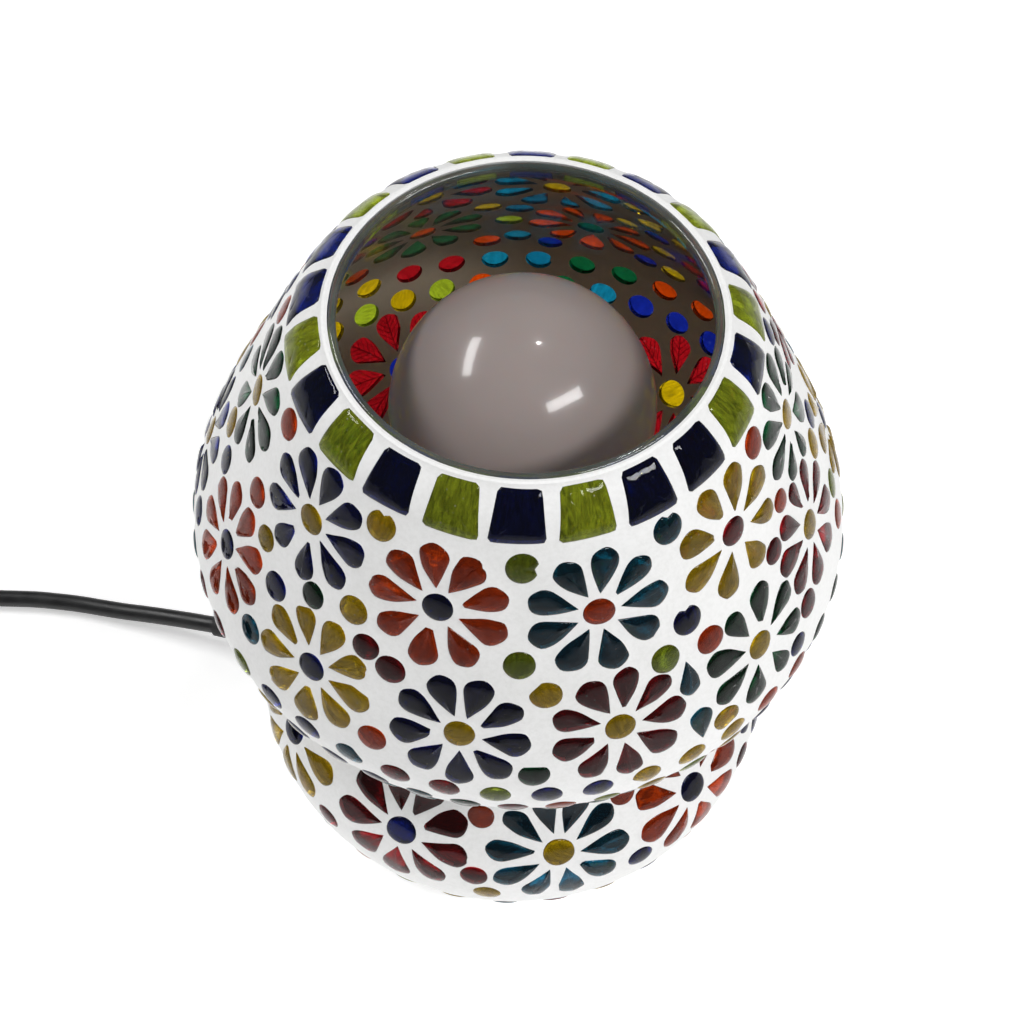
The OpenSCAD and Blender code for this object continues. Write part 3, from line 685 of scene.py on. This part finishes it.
def edge_ring(i, k, sgn):
    if (i, k) not in ring_cache:
        if sgn < 0:      # the rolled white edge round the mouth
            a = math.radians(U[i, 0] / KX)
            lift = height[i] + 0.10
            r = (43.45, 42.8, 42.1)[k] + 1.2 * lift * (0.5, 0.9, 1.0)[k]
            z = (180.58, 180.78, 180.45)[k] + 0.9 * min(lift, 0.1)
            ring_cache[(i, k)] = len(verts)
            verts.append((r * math.cos(a) * MM, r * math.sin(a) * MM, z * MM))
            return ring_cache[(i, k)]
        base = 0.0 if sgn < 0 else S_END
        frac = (0.2, 0.6, 1.05)[k] * (1.42 if sgn < 0 else 0.85)
        bulge = (0.36, 0.52, 0.40)[k]
        h = height[i] + (GLASS_H + 0.03 - height[i]) * frac
        ring_cache[(i, k)] = len(verts)
        verts.append(tuple(place(U[i, 0] / KX, base + sgn * bulge * (1.0 if sgn < 0 else 0.4), h)))
    return ring_cache[(i, k)]


for a, b in border:
    sa, sb = U[a, 1], U[b, 1]
    sgn = -1 if (sa < 1e-3 and sb < 1e-3) else (1 if (sa > S_END - 1e-3 and sb > S_END - 1e-3) else 0)
    if not sgn:
        continue
    chain_a = [a] + [edge_ring(a, k, sgn) for k in range(3)] + [a + n_u]
    chain_b = [b] + [edge_ring(b, k, sgn) for k in range(3)] + [b + n_u]
    for k in range(4):
        faces.append((chain_b[k], chain_a[k], chain_a[k + 1], chain_b[k + 1]))
        slots.append(0)


# ------------------------------------------------------------------ grout materials
def grout_material(name, light, shade, inside=False, painted_glow=None):
    m, nt, out = new_mat(name)
    b = principled(nt, **{"Specular IOR Level": 0.35 if not inside else 0.1})
    v = coords(nt)
    big = noise_tex(nt, v, 38.0, 3.0, 0.55)
    small = noise_tex(nt, v, 900.0, 4.0, 0.6)
    pits = node(nt, "ShaderNodeTexVoronoi")
    pits.inputs["Scale"].default_value = 750.0
    nt.links.new(v, pits.inputs["Vector"])
    pit = map_range(nt, pits.outputs["Distance"], 0.0, 1.0, 0.02, 0.14)
    col = ramp(nt, big.outputs["Fac"], [(0.30, shade), (0.62, light)])
    mix = node(nt, "ShaderNodeMixRGB", blend_type="MULTIPLY")
    mix.inputs["Fac"].default_value = 0.35
    nt.links.new(col, mix.inputs["Color1"])
    nt.links.new(ramp(nt, small.outputs["Fac"], [(0.35, (0.86, 0.86, 0.85)), (0.6, (1, 1, 1))]), mix.inputs["Color2"])
    nt.links.new(mix.outputs["Color"], b.inputs["Base Color"])
    nt.links.new(map_range(nt, small.outputs["Fac"], 0.42, 0.62, 0.3, 0.7), b.inputs["Roughness"])
    n1 = bump(nt, small.outputs["Fac"], 0.00008, 0.6)
    n2 = bump(nt, pit, 0.00005, 0.5, n1)
    nt.links.new(n2, b.inputs["Normal"])
    # painted glow: a faint warm emission makes this grout shine though it is no lamp
    if painted_glow:
        b.inputs["Emission Color"].default_value = (*painted_glow, 1)
        b.inputs["Emission Strength"].default_value = 1.0
    nt.links.new(b.outputs["BSDF"], out.inputs["Surface"])
    return m


grout_out = grout_material("white_grout", (0.95, 0.95, 0.945), (0.90, 0.90, 0.89))
# inside face of the grout: warm brown-grey tones, with a painted glow from a faint emission
grout_in = grout_material("grout_behind_glass_painted_glow", (0.86, 0.68, 0.55), (0.68, 0.53, 0.43), True, (0.030, 0.021, 0.015))
# painted shade: the hole walls beside the glass get a darker grey copy of the white grout, standing in for the shade in
# the crease
grout_wall_painted_shade = grout_material("grout_beside_glass_painted_shade", (0.62, 0.60, 0.57), (0.5, 0.48, 0.45), True)
grout = mesh_obj("grout_between_the_glass", verts, faces, (grout_out, grout_in, grout_wall_painted_shade), True, slots, 38)
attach(grout, "lamp")
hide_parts("grout_coat")

# ------------------------------------------------------------------ pieces of coloured glass
TINT = {   # colour seen through the glass, and how much of its face lets light in
    "navy": ((0.006, 0.016, 0.27), 0.99),
    "teal": ((0.005, 0.18, 0.32), 0.965),
    "russet": ((0.70, 0.062, 0.002), 0.79),
    "maroon": ((0.40, 0.005, 0.010), 0.955),
    "amber": ((0.72, 0.46, 0.003), 0.78),
    "green": ((0.004, 0.095, 0.032), 0.975),
    "olive": ((0.38, 0.48, 0.02), 0.84),
    "rimgreen": ((0.48, 0.58, 0.025), 0.68),
    "rimnavy": ((0.008, 0.022, 0.27), 0.98),
}


def glass_material(name, tint, share, streaky=0.0, back=False, veins=False):
    m, nt, out = new_mat(name)
    b = principled(nt, IOR=1.29, **{"Transmission Weight": 1.0 if back else share, "Specular IOR Level": 0.5 if back else 0.3})
    at = node(nt, "ShaderNodeAttribute", attribute_name="piece")
    at2 = node(nt, "ShaderNodeAttribute", attribute_name="along")
    # streaks that run along each piece, and a tone of its own for each piece
    mp = node(nt, "ShaderNodeMapping")
    mp.inputs["Scale"].default_value = (0.22, 0.7, 1.0)
    nt.links.new(at2.outputs["Vector"], mp.inputs["Vector"])
    st = noise_tex(nt, mp.outputs["Vector"], 1.6, 4.0, 0.6, 0.8)
    lo, hi = mul(tint, 0.62 - 0.25 * streaky), mul(tint, 1.15)
    col = ramp(nt, st.outputs["Fac"], [(0.34, lo), (0.64, hi)])
    tone = ramp(nt, at.outputs["Fac"], [(0.0, (0.72, 0.72, 0.78)), (0.5, (0.95, 0.95, 0.95)), (1.0, (1.0, 1.0, 0.92))])
    mix = node(nt, "ShaderNodeMixRGB", blend_type="MULTIPLY")
    mix.inputs["Fac"].default_value = 1.0
    nt.links.new(col, mix.inputs["Color1"])
    nt.links.new(tone, mix.inputs["Color2"])
    if veins:
        sep = node(nt, "ShaderNodeSeparateXYZ")
        nt.links.new(at2.outputs["Vector"], sep.inputs["Vector"])
        side = node(nt, "ShaderNodeMath", operation="ABSOLUTE")
        nt.links.new(sep.outputs["Y"], side.inputs[0])
        run = node(nt, "ShaderNodeMath", operation="MULTIPLY_ADD")
        run.inputs[1].default_value = -1.15
        nt.links.new(side.outputs["Value"], run.inputs[0])
        nt.links.new(sep.outputs["X"], run.inputs[2])
        wob = noise_tex(nt, at2.outputs["Vector"], 0.8, 2.0, 0.5)
        off = node(nt, "ShaderNodeMath", operation="ADD")
        nt.links.new(run.outputs["Value"], off.inputs[0])
        nt.links.new(wob.outputs["Fac"], off.inputs[1])
        per = node(nt, "ShaderNodeMath", operation="DIVIDE")
        per.inputs[1].default_value = 1.75
        nt.links.new(off.outputs["Value"], per.inputs[0])
        fr = node(nt, "ShaderNodeMath", operation="FRACT")
        nt.links.new(per.outputs["Value"], fr.inputs[0])
        line = node(nt, "ShaderNodeMath", operation="MULTIPLY")
        nt.links.new(map_range(nt, fr.outputs["Value"], 0.0, 1.0, 0.10, 0.26), line.inputs[0])
        nt.links.new(map_range(nt, side.outputs["Value"], 0.0, 1.0, 0.10, 0.30), line.inputs[1])
        dark = node(nt, "ShaderNodeMixRGB", blend_type="MULTIPLY")
        dark.inputs["Fac"].default_value = 0.92
        nt.links.new(mix.outputs["Color"], dark.inputs["Color1"])
        nt.links.new(ramp(nt, line.outputs["Value"], [(0.0, (0.03, 0.02, 0.02)), (0.8, (1, 1, 1))]), dark.inputs["Color2"])
        mix = dark
    nt.links.new(mix.outputs["Color"], b.inputs["Base Color"])
    v = coords(nt)
    if not back:
        seed = node(nt, "ShaderNodeTexVoronoi")
        seed.inputs["Scale"].default_value = 620.0
        nt.links.new(v, seed.inputs["Vector"])
        patch = noise_tex(nt, v, 90.0, 2.0, 0.5)
        lit = node(nt, "ShaderNodeMath", operation="MULTIPLY")
        nt.links.new(map_range(nt, seed.outputs["Distance"], 0.8, 0.0, 0.05, 0.17), lit.inputs[0])
        nt.links.new(map_range(nt, patch.outputs["Fac"], 0.0, 1.0, 0.46, 0.56), lit.inputs[1])
        pale = node(nt, "ShaderNodeMixRGB", blend_type="MIX")
        nt.links.new(lit.outputs["Value"], pale.inputs["Fac"])
        nt.links.new(mix.outputs["Color"], pale.inputs["Color1"])
        pale.inputs["Color2"].default_value = (0.75, 0.75, 0.70, 1)
        nt.links.new(pale.outputs["Color"], b.inputs["Base Color"])
    wav = noise_tex(nt, v, 260.0, 2.0, 0.5)
    speck = noise_tex(nt, v, 2200.0, 2.0, 0.5)
    if back:
        nt.links.new(map_range(nt, wav.outputs["Fac"], 0.08, 0.26, 0.3, 0.7), b.inputs["Roughness"])
    else:
        nt.links.new(map_range(nt, speck.outputs["Fac"], 0.02, 0.075, 0.35, 0.75), b.inputs["Roughness"])
    n1 = bump(nt, wav.outputs["Fac"], 0.0002, 0.55)
    n2 = bump(nt, speck.outputs["Fac"], 0.00001, 0.5, n1)
    nt.links.new(n2, b.inputs["Normal"])
    nt.links.new(b.outputs["BSDF"], out.inputs["Surface"])
    return m


RINGS = [(0.0, -0.26), (0.05, -0.06), (0.2, 0.085), (0.5, 0.215), (0.95, 0.33), (1.5, 0.42), (2.1, 0.475), (2.7, 0.495)]


def tile_mesh(t, verts, faces, slots, piece, along):
    p = t.local
    m = len(p)
    rnd = random.Random(int(t.az * 97 + t.s * 1013))
    x0, x1 = t.medial
    if t.kind == "rim":
        med = np.stack([np.clip(p[:, 0], -2.6, 2.6), np.clip(p[:, 1], -2.6, 2.6)], 1)
    else:
        med = np.stack([np.clip(p[:, 0], x0, x1), np.zeros(m)], 1)
    away = p - med
    dist = np.maximum(np.linalg.norm(away, axis=1), 1e-6)
    dome = rnd.uniform(0.82, 1.0)
    if t.kind == "rim":
        dome = rnd.uniform(0.7, 0.85)
    tx, ty = rnd.uniform(-0.018, 0.018), rnd.uniform(-0.03, 0.03)
    base = len(verts)

    def add(q, h):
        u = t.unrolled(q)
        w = place(u[:, 0], u[:, 1], h)
        for i in range(len(q)):
            verts.append(tuple(w[i]))
            piece.append(t.rand)
            along.append((q[i, 0], q[i, 1], t.rand * 37.0))
    add(p, np.full(m, GLASS_H + 0.02))
    for d, h in RINGS:
        k = np.clip(1 - d / dist, 0.06, 1)
        q = med + away * k[:, None]
        hh = np.where(h > 0, h * dome, h) + np.minimum(q[:, 0] * tx + q[:, 1] * ty, 0.0)
        add(q, hh)
    nr = len(RINGS) + 1
    for r in range(nr - 1):
        for i in range(m):
            j = (i + 1) % m
            faces.append((base + r * m + i, base + r * m + j, base + (r + 1) * m + j, base + (r + 1) * m + i))
            slots.append(1 if r == 0 else 0)
    # middle of the dome and of the back
    mid = np.array([[(x0 + x1) / 2 if t.kind != "rim" else 0.0, 0.0]])
    add(mid, np.array([0.5 * dome + min(mid[0, 0] * tx, 0)]))
    top = len(verts) - 1
    add(mid, np.array([GLASS_H + 0.02]))
    bot = len(verts) - 1
    last = base + (nr - 1) * m
    for i in range(m):
        j = (i + 1) % m
        faces.append((last + i, last + j, top))
        slots.append(0)
        faces.append((base + j, base + i, bot))
        slots.append(1)


groups = {}
for t in tiles:
    groups.setdefault(t.group, []).append(t)
for g, ts in sorted(groups.items()):
    colour = g.split("_")[-1]
    key = "rim" + colour if g.startswith("rim") else colour
    tint, share = TINT[key]
    front = glass_material(g + "_face", tint, share, 1.0 if g.startswith("rim") else 0.3)
    back = glass_material(g + "_back", tint, 1.0, 1.0 if g.startswith("rim") else 0.3, True, g == "petals_maroon")
    verts, faces, slots, piece, along = [], [], [], [], []
    for t in ts:
        tile_mesh(t, verts, faces, slots, piece, along)
    o = mesh_obj("glass_" + g, verts, faces, (front, back), True, slots, 60)
    # turn every face outwards
    bm = bmesh.new()
    bm.from_mesh(o.data)
    bmesh.ops.recalc_face_normals(bm, faces=bm.faces[:])
    bm.to_mesh(o.data)
    bm.free()
    a = o.data.attributes.new("piece", "FLOAT", "POINT")
    a.data.foreach_set("value", np.array(piece, np.float32))
    a = o.data.attributes.new("along", "FLOAT_VECTOR", "POINT")
    a.data.foreach_set("vector", np.array(along, np.float32).ravel())
    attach(o, "lamp")
    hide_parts(g)


# ------------------------------------------------------------------ revolved pieces
def revolve(name, prof, mats, seg=128, slots=None, closed=True, sharp=40):
    """A closed line [r, z] in mm turned round Z. Points on the axis become one point."""
    verts, faces, mat_i = [], [], []
    idx = []
    for r, z in prof:
        if r < 1e-6:
            idx.append([len(verts)] * seg)
            verts.append((0, 0, z * MM))
        else:
            idx.append(list(range(len(verts), len(verts) + seg)))
            for k in range(seg):
                a = 2 * math.pi * k / seg
                verts.append((r * MM * math.cos(a), r * MM * math.sin(a), z * MM))
    n = len(prof)
    for i in range(n if closed else n - 1):
        j = (i + 1) % n
        if prof[i][0] < 1e-6 and prof[j][0] < 1e-6:
            continue
        for k in range(seg):
            l = (k + 1) % seg
            q = [idx[i][k], idx[i][l], idx[j][l], idx[j][k]]
            q = [v for x, v in enumerate(q) if v not in q[:x]]
            if len(q) > 2:
                faces.append(tuple(q))
                mat_i.append(slots[i] if slots else 0)
    o = mesh_obj(name, verts, faces, mats, True, mat_i, None)
    bm = bmesh.new()
    bm.from_mesh(o.data)
    bmesh.ops.recalc_face_normals(bm, faces=bm.faces[:])
    bm.to_mesh(o.data)
    bm.free()
    o.data.set_sharp_from_angle(angle=math.radians(sharp))
    return o


def clear_glass():
    """Thin clear glass: what is behind shows through unbent, with a mirror share that grows at grazing angles."""
    m, nt, out = new_mat("clear_blown_glass")
    tr = node(nt, "ShaderNodeBsdfTransparent")
    gl = principled(nt, IOR=1.5, Metallic=0.0)
    gl.inputs["Base Color"].default_value = (0.05, 0.055, 0.052, 1)
    v = coords(nt)
    w = noise_tex(nt, v, 30.0, 2.0, 0.5)
    s = noise_tex(nt, v, 420.0, 3.0, 0.6)
    nt.links.new(map_range(nt, s.outputs["Fac"], 0.03, 0.10, 0.35, 0.7), gl.inputs["Roughness"])
    nt.links.new(bump(nt, w.outputs["Fac"], 0.0012, 0.35), gl.inputs["Normal"])
    nt.links.new(ramp(nt, w.outputs["Fac"], [(0.3, (0.90, 0.93, 0.915)), (0.7, (0.95, 0.965, 0.955))]), tr.inputs["Color"])
    lw = node(nt, "ShaderNodeLayerWeight")
    lw.inputs["Blend"].default_value = 0.5
    pw = node(nt, "ShaderNodeMath", operation="POWER")
    pw.inputs[1].default_value = 4.0
    nt.links.new(lw.outputs["Facing"], pw.inputs[0])
    mx = node(nt, "ShaderNodeMixShader")
    nt.links.new(map_range(nt, pw.outputs["Value"], 0.035, 0.85), mx.inputs["Fac"])
    nt.links.new(tr.outputs["BSDF"], mx.inputs[1])
    nt.links.new(gl.outputs["BSDF"], mx.inputs[2])
    nt.links.new(mx.outputs["Shader"], out.inputs["Surface"])
    return m


def lip_glass():
    m, nt, out = new_mat("fire_polished_lip")
    b = principled(nt, IOR=1.5, Roughness=0.05, **{"Transmission Weight": 0.7})
    v = coords(nt)
    w = noise_tex(nt, v, 60.0, 3.0, 0.5)
    nt.links.new(ramp(nt, w.outputs["Fac"], [(0.3, (0.10, 0.12, 0.10)), (0.7, (0.26, 0.29, 0.26))]), b.inputs["Base Color"])
    nt.links.new(bump(nt, w.outputs["Fac"], 0.0003, 0.4), b.inputs["Normal"])
    nt.links.new(b.outputs["BSDF"], out.inputs["Surface"])
    return m


ss = np.linspace(0, S_END, 110)
nr_, nz_ = normals(ss)
out_r, out_z = R_OF(ss) - 2.4 * nr_, Z_OF(ss) - 2.4 * nz_
in_r, in_z = R_OF(ss) - 4.8 * nr_, Z_OF(ss) - 4.8 * nz_
floor_lo = float(out_z[-1])
floor_hi = floor_lo + 3
lip = [(41.2 + 0.87 * math.cos(a), 179.85 + 0.75 * math.sin(a)) for a in np.linspace(math.pi, 0, 9)]
keep_in = in_z > floor_hi + 0.6
prof_glass = [(40.35, 178.6)] + lip + list(zip(out_r, out_z)) + [(6, floor_lo), (6, floor_hi), (44, floor_hi), (46.5, floor_hi + 0.15)]
prof_glass += [(r, z) for r, z, k in list(zip(in_r, in_z, keep_in))[::-1] if k]
n_lip = 11
gslots = [1 if i < n_lip else 0 for i in range(len(prof_glass))]
gslots[-1] = 1
vessel = revolve("clear_glass_vessel", prof_glass, (clear_glass(), lip_glass()), 144, gslots, True, 50)
exit_axis = Vector((math.cos(math.radians(CORD_AZ)) * math.cos(math.radians(12)), math.sin(math.radians(CORD_AZ)) * math.cos(math.radians(12)), -math.sin(math.radians(12))))
bpy.ops.mesh.primitive_cylinder_add(vertices=48, radius=0.005, depth=0.03, location=(0.060 * math.cos(math.radians(CORD_AZ)), 0.060 * math.sin(math.radians(CORD_AZ)), 0.0135))
cutter = bpy.context.active_object
cutter.rotation_mode = "QUATERNION"
cutter.rotation_quaternion = exit_axis.to_track_quat("Z", "Y")
mod = vessel.modifiers.new("cord_hole", "BOOLEAN")
mod.object = cutter
mod.operation = "DIFFERENCE"
mod.solver = "EXACT"
bpy.context.view_layer.objects.active = vessel
bpy.ops.object.modifier_apply(modifier="cord_hole")
bpy.data.objects.remove(cutter)
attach(vessel, "lamp")
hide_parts("glass_vessel")

# bulb globe: a milky shell with a rolled foot that sits in the housing; its colour is painted shade and it has a
# painted glow
def milky():
    m, nt, out = new_mat("milky_bulb_painted_shade_glow")
    # painted glow: a faint warm emission lifts the shaded underside of the unlit bulb
    b = principled(nt, **{"Subsurface Weight": 0.25, "Subsurface Scale": 0.004, "Coat Weight": 0.34, "Coat Roughness": 0.05, "Coat IOR": 1.5, "IOR": 1.5, "Specular IOR Level": 0.2, "Emission Color": (0.62, 0.53, 0.50, 1), "Emission Strength": 0.05})
    v = coords(nt)
    w = noise_tex(nt, v, 30.0, 2.0, 0.5)
    s = noise_tex(nt, v, 900.0, 3.0, 0.6)
    # painted shade: the base colour is a dark mauve-grey, darkened to the shade the bulb sits in deep in the vessel
    nt.links.new(ramp(nt, w.outputs["Fac"], [(0.3, (0.262, 0.222, 0.210)), (0.7, (0.295, 0.25, 0.238))]), b.inputs["Base Color"])
    nt.links.new(map_range(nt, s.outputs["Fac"], 0.16, 0.26, 0.3, 0.7), b.inputs["Roughness"])
    nt.links.new(bump(nt, s.outputs["Fac"], 0.00001, 0.5), b.inputs["Normal"])
    nt.links.new(b.outputs["BSDF"], out.inputs["Surface"])
    return m


gl = []
for a in np.linspace(math.pi / 2, -math.asin(18 / 30), 44):
    gl.append((30 * math.cos(a), 146 + 30 * math.sin(a)))
gl[0] = (0.0, 176.0)
lo = gl[-1]
gl += [(lo[0] - 0.5, 128.0)]
inn = []
for a in np.linspace(-math.asin(18 / 28.8), math.pi / 2, 36):
    inn.append((28.8 * math.cos(a), 146 + 28.8 * math.sin(a)))
inn[-1] = (0.0, 174.8)
globe = revolve("milky_globe", gl + inn, (milky(),), 96, None, False, 50)
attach(globe, "bulb")
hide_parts("bulb_diffuser")

# ------------------------------------------------------------------ CAD nodes that stay: materials
rubber = simple_mat("black_rubber", (0.010, 0.010, 0.011), (0.028, 0.028, 0.029), 180.0, (0.55, 0.75), 0.00004, fine=1800.0)
bakelite = simple_mat("black_moulding", (0.012, 0.012, 0.013), (0.022, 0.022, 0.023), 90.0, (0.28, 0.42), 0.00002, fine=2400.0)
painted = simple_mat("painted_steel", (0.055, 0.055, 0.058), (0.085, 0.085, 0.088), 160.0, (0.38, 0.55), 0.00003, fine=1500.0)
zinc = simple_mat("zinc_plated_steel", (0.50, 0.50, 0.50), (0.70, 0.70, 0.69), 240.0, (0.24, 0.42), 0.00002, 1.0, fine=2600.0)
brass = simple_mat("brass", (0.62, 0.42, 0.16), (0.78, 0.56, 0.24), 220.0, (0.22, 0.4), 0.00002, 1.0, fine=2600.0)
nickel = simple_mat("nickel_plate", (0.58, 0.56, 0.53), (0.74, 0.72, 0.68), 260.0, (0.14, 0.28), 0.00001, 1.0, stretch=(1, 1, 6), fine=2400.0)
ceramic = simple_mat("ivory_ceramic", (0.62, 0.58, 0.50), (0.74, 0.70, 0.62), 150.0, (0.25, 0.4), 0.00003, fine=1400.0)
white_plastic = simple_mat("white_plastic", (0.66, 0.65, 0.63), (0.76, 0.75, 0.73), 90.0, (0.32, 0.46), 0.00002, fine=1800.0)
board_white = simple_mat("white_solder_mask", (0.70, 0.72, 0.72), (0.84, 0.86, 0.86), 300.0, (0.3, 0.45), 0.00001, fine=2400.0)
phosphor = simple_mat("yellow_phosphor", (0.70, 0.52, 0.10), (0.86, 0.68, 0.18), 500.0, (0.35, 0.5), 0.00001, fine=3000.0)
board_green = simple_mat("green_solder_mask", (0.02, 0.11, 0.045), (0.035, 0.17, 0.07), 320.0, (0.25, 0.4), 0.00002, fine=2200.0)
brown_wire = simple_mat("brown_sleeve", (0.16, 0.07, 0.03), (0.22, 0.10, 0.045), 300.0, (0.35, 0.5), 0.00001)
blue_wire = simple_mat("blue_sleeve", (0.02, 0.08, 0.30), (0.03, 0.12, 0.40), 300.0, (0.35, 0.5), 0.00001)
glass_black = simple_mat("black_vitrite", (0.012, 0.010, 0.014), (0.03, 0.026, 0.034), 400.0, (0.08, 0.2), 0.00001)

FINISH = {
    "base_pad": rubber, "base_plate": painted, "base_gasket": rubber, "rubber_washer": rubber, "steel_washer": zinc, "threaded_nipple": brass, "base_nut": zinc,
    "stem_tube": zinc, "holder_cap": bakelite, "holder_shell": bakelite, "holder_core": ceramic, "screw_shell": brass, "centre_contact": brass, "side_contact": brass,
    "terminal_screws": zinc, "inner_lead": black_flex, "live_wire": brown_wire, "neutral_wire": blue_wire, "cord_grommet": rubber, "strain_relief": rubber,
    "bulb_housing": white_plastic, "led_board": board_white, "led_chips": phosphor, "driver_board": board_green, "bulb_cap": nickel, "cap_insulator": glass_black,
    "bulb_contact": nickel, "switch_base": bakelite, "switch_cover": bakelite, "switch_screws": zinc, "switch_terminals": brass, "switch_rocker": bakelite,
    "switch_pin": zinc, "switch_bridge": brass, "plug_body": bakelite, "plug_pins": nickel}
for name, mat in FINISH.items():
    if name in N:
        give(name, mat)


def rounded(name, width, angle=28, segments=3):
    """Breaks the hard edges of a moulded CAD node with modifiers, which leave its mesh alone."""
    o = N[name]
    w = o.modifiers.new("join", "WELD")
    w.merge_threshold = 1e-6
    b = o.modifiers.new("edge", "BEVEL")
    b.width = width
    b.segments = segments
    b.limit_method = "ANGLE"
    b.angle_limit = math.radians(angle)
    b.harden_normals = True


for name, width in (("switch_base", 0.0005), ("switch_cover", 0.0009), ("switch_rocker", 0.0004), ("plug_body", 0.0009), ("holder_cap", 0.0004), ("base_nut", 0.0003)):
    rounded(name, width)

# ------------------------------------------------------------------ floor, light
fm, nt, out = new_mat("pale_floor")
b = principled(nt, Roughness=0.7, **{"Specular IOR Level": 0.2, "Emission Color": (1, 1, 1, 1), "Emission Strength": 0.44})
fv = coords(nt)
fn = noise_tex(nt, fv, 3.0, 2.0, 0.5)
nt.links.new(ramp(nt, fn.outputs["Fac"], [(0.3, (0.93, 0.93, 0.93)), (0.7, (0.95, 0.95, 0.95))]), b.inputs["Base Color"])
far = node(nt, "ShaderNodeVectorMath", operation="LENGTH")
nt.links.new(fv, far.inputs[0])
nt.links.new(map_range(nt, far.outputs["Value"], 0.44, 0.24, 0.3, 0.8), b.inputs["Emission Strength"])
nt.links.new(b.outputs["BSDF"], out.inputs["Surface"])
floor = mesh_obj("floor", [(-3, -3, 0), (3, -3, 0), (3, 3, 0), (-3, 3, 0)], [(0, 1, 2, 3)], (fm,), False)

world = bpy.data.worlds.new("soft_white")
scene.world = world
world.use_nodes = True
wt = world.node_tree
bg = wt.nodes["Background"]
bg.inputs["Color"].default_value = (1, 1, 1, 1)
bg.inputs["Strength"].default_value = 0.20
backdrop = node(wt, "ShaderNodeBackground")
backdrop.inputs["Color"].default_value = (1, 1, 1, 1)
backdrop.inputs["Strength"].default_value = 0.62
seen = node(wt, "ShaderNodeLightPath")
pick = node(wt, "ShaderNodeMixShader")
wt.links.new(seen.outputs["Is Camera Ray"], pick.inputs["Fac"])
wt.links.new(bg.outputs["Background"], pick.inputs[1])
wt.links.new(backdrop.outputs["Background"], pick.inputs[2])
wt.links.new(pick.outputs["Shader"], wt.nodes["World Output"].inputs["Surface"])


def area(name, direction, dist, size_x, size_y, power, along=None, at=(0, 0, 0.12)):
    ld = bpy.data.lights.new(name, "AREA")
    ld.shape = "RECTANGLE"
    ld.size, ld.size_y = size_x, size_y
    ld.energy = power
    lo = bpy.data.objects.new(name, ld)
    link(lo)
    d = Vector(direction).normalized()
    lo.location = Vector(at) + d * dist
    z = d
    if along is None:
        along = Vector((0, 0, 1)).cross(z)
    x = (Vector(along) - z * Vector(along).dot(z)).normalized()
    y = z.cross(x)
    lo.rotation_mode = "QUATERNION"
    lo.rotation_quaternion = Matrix((x, y, z)).transposed().to_quaternion()
    return lo


area("softbox_front_right", (0.578, -0.369, 0.728), 1.1, 0.66, 0.17, 7.8, (0.48, 0.44, -0.13), (0.009, -0.015, 0.170))
area("strip_left", (-0.66, 0.24, 0.69), 1.1, 0.62, 0.16, 5.9, (0.187, 0.543, 0.0), (-0.012, -0.006, 0.173))
area("spot_top", (0.179, 0.36, 0.916), 1.1, 0.05, 0.05, 0.8, None, (0.003, -0.004, 0.1756))
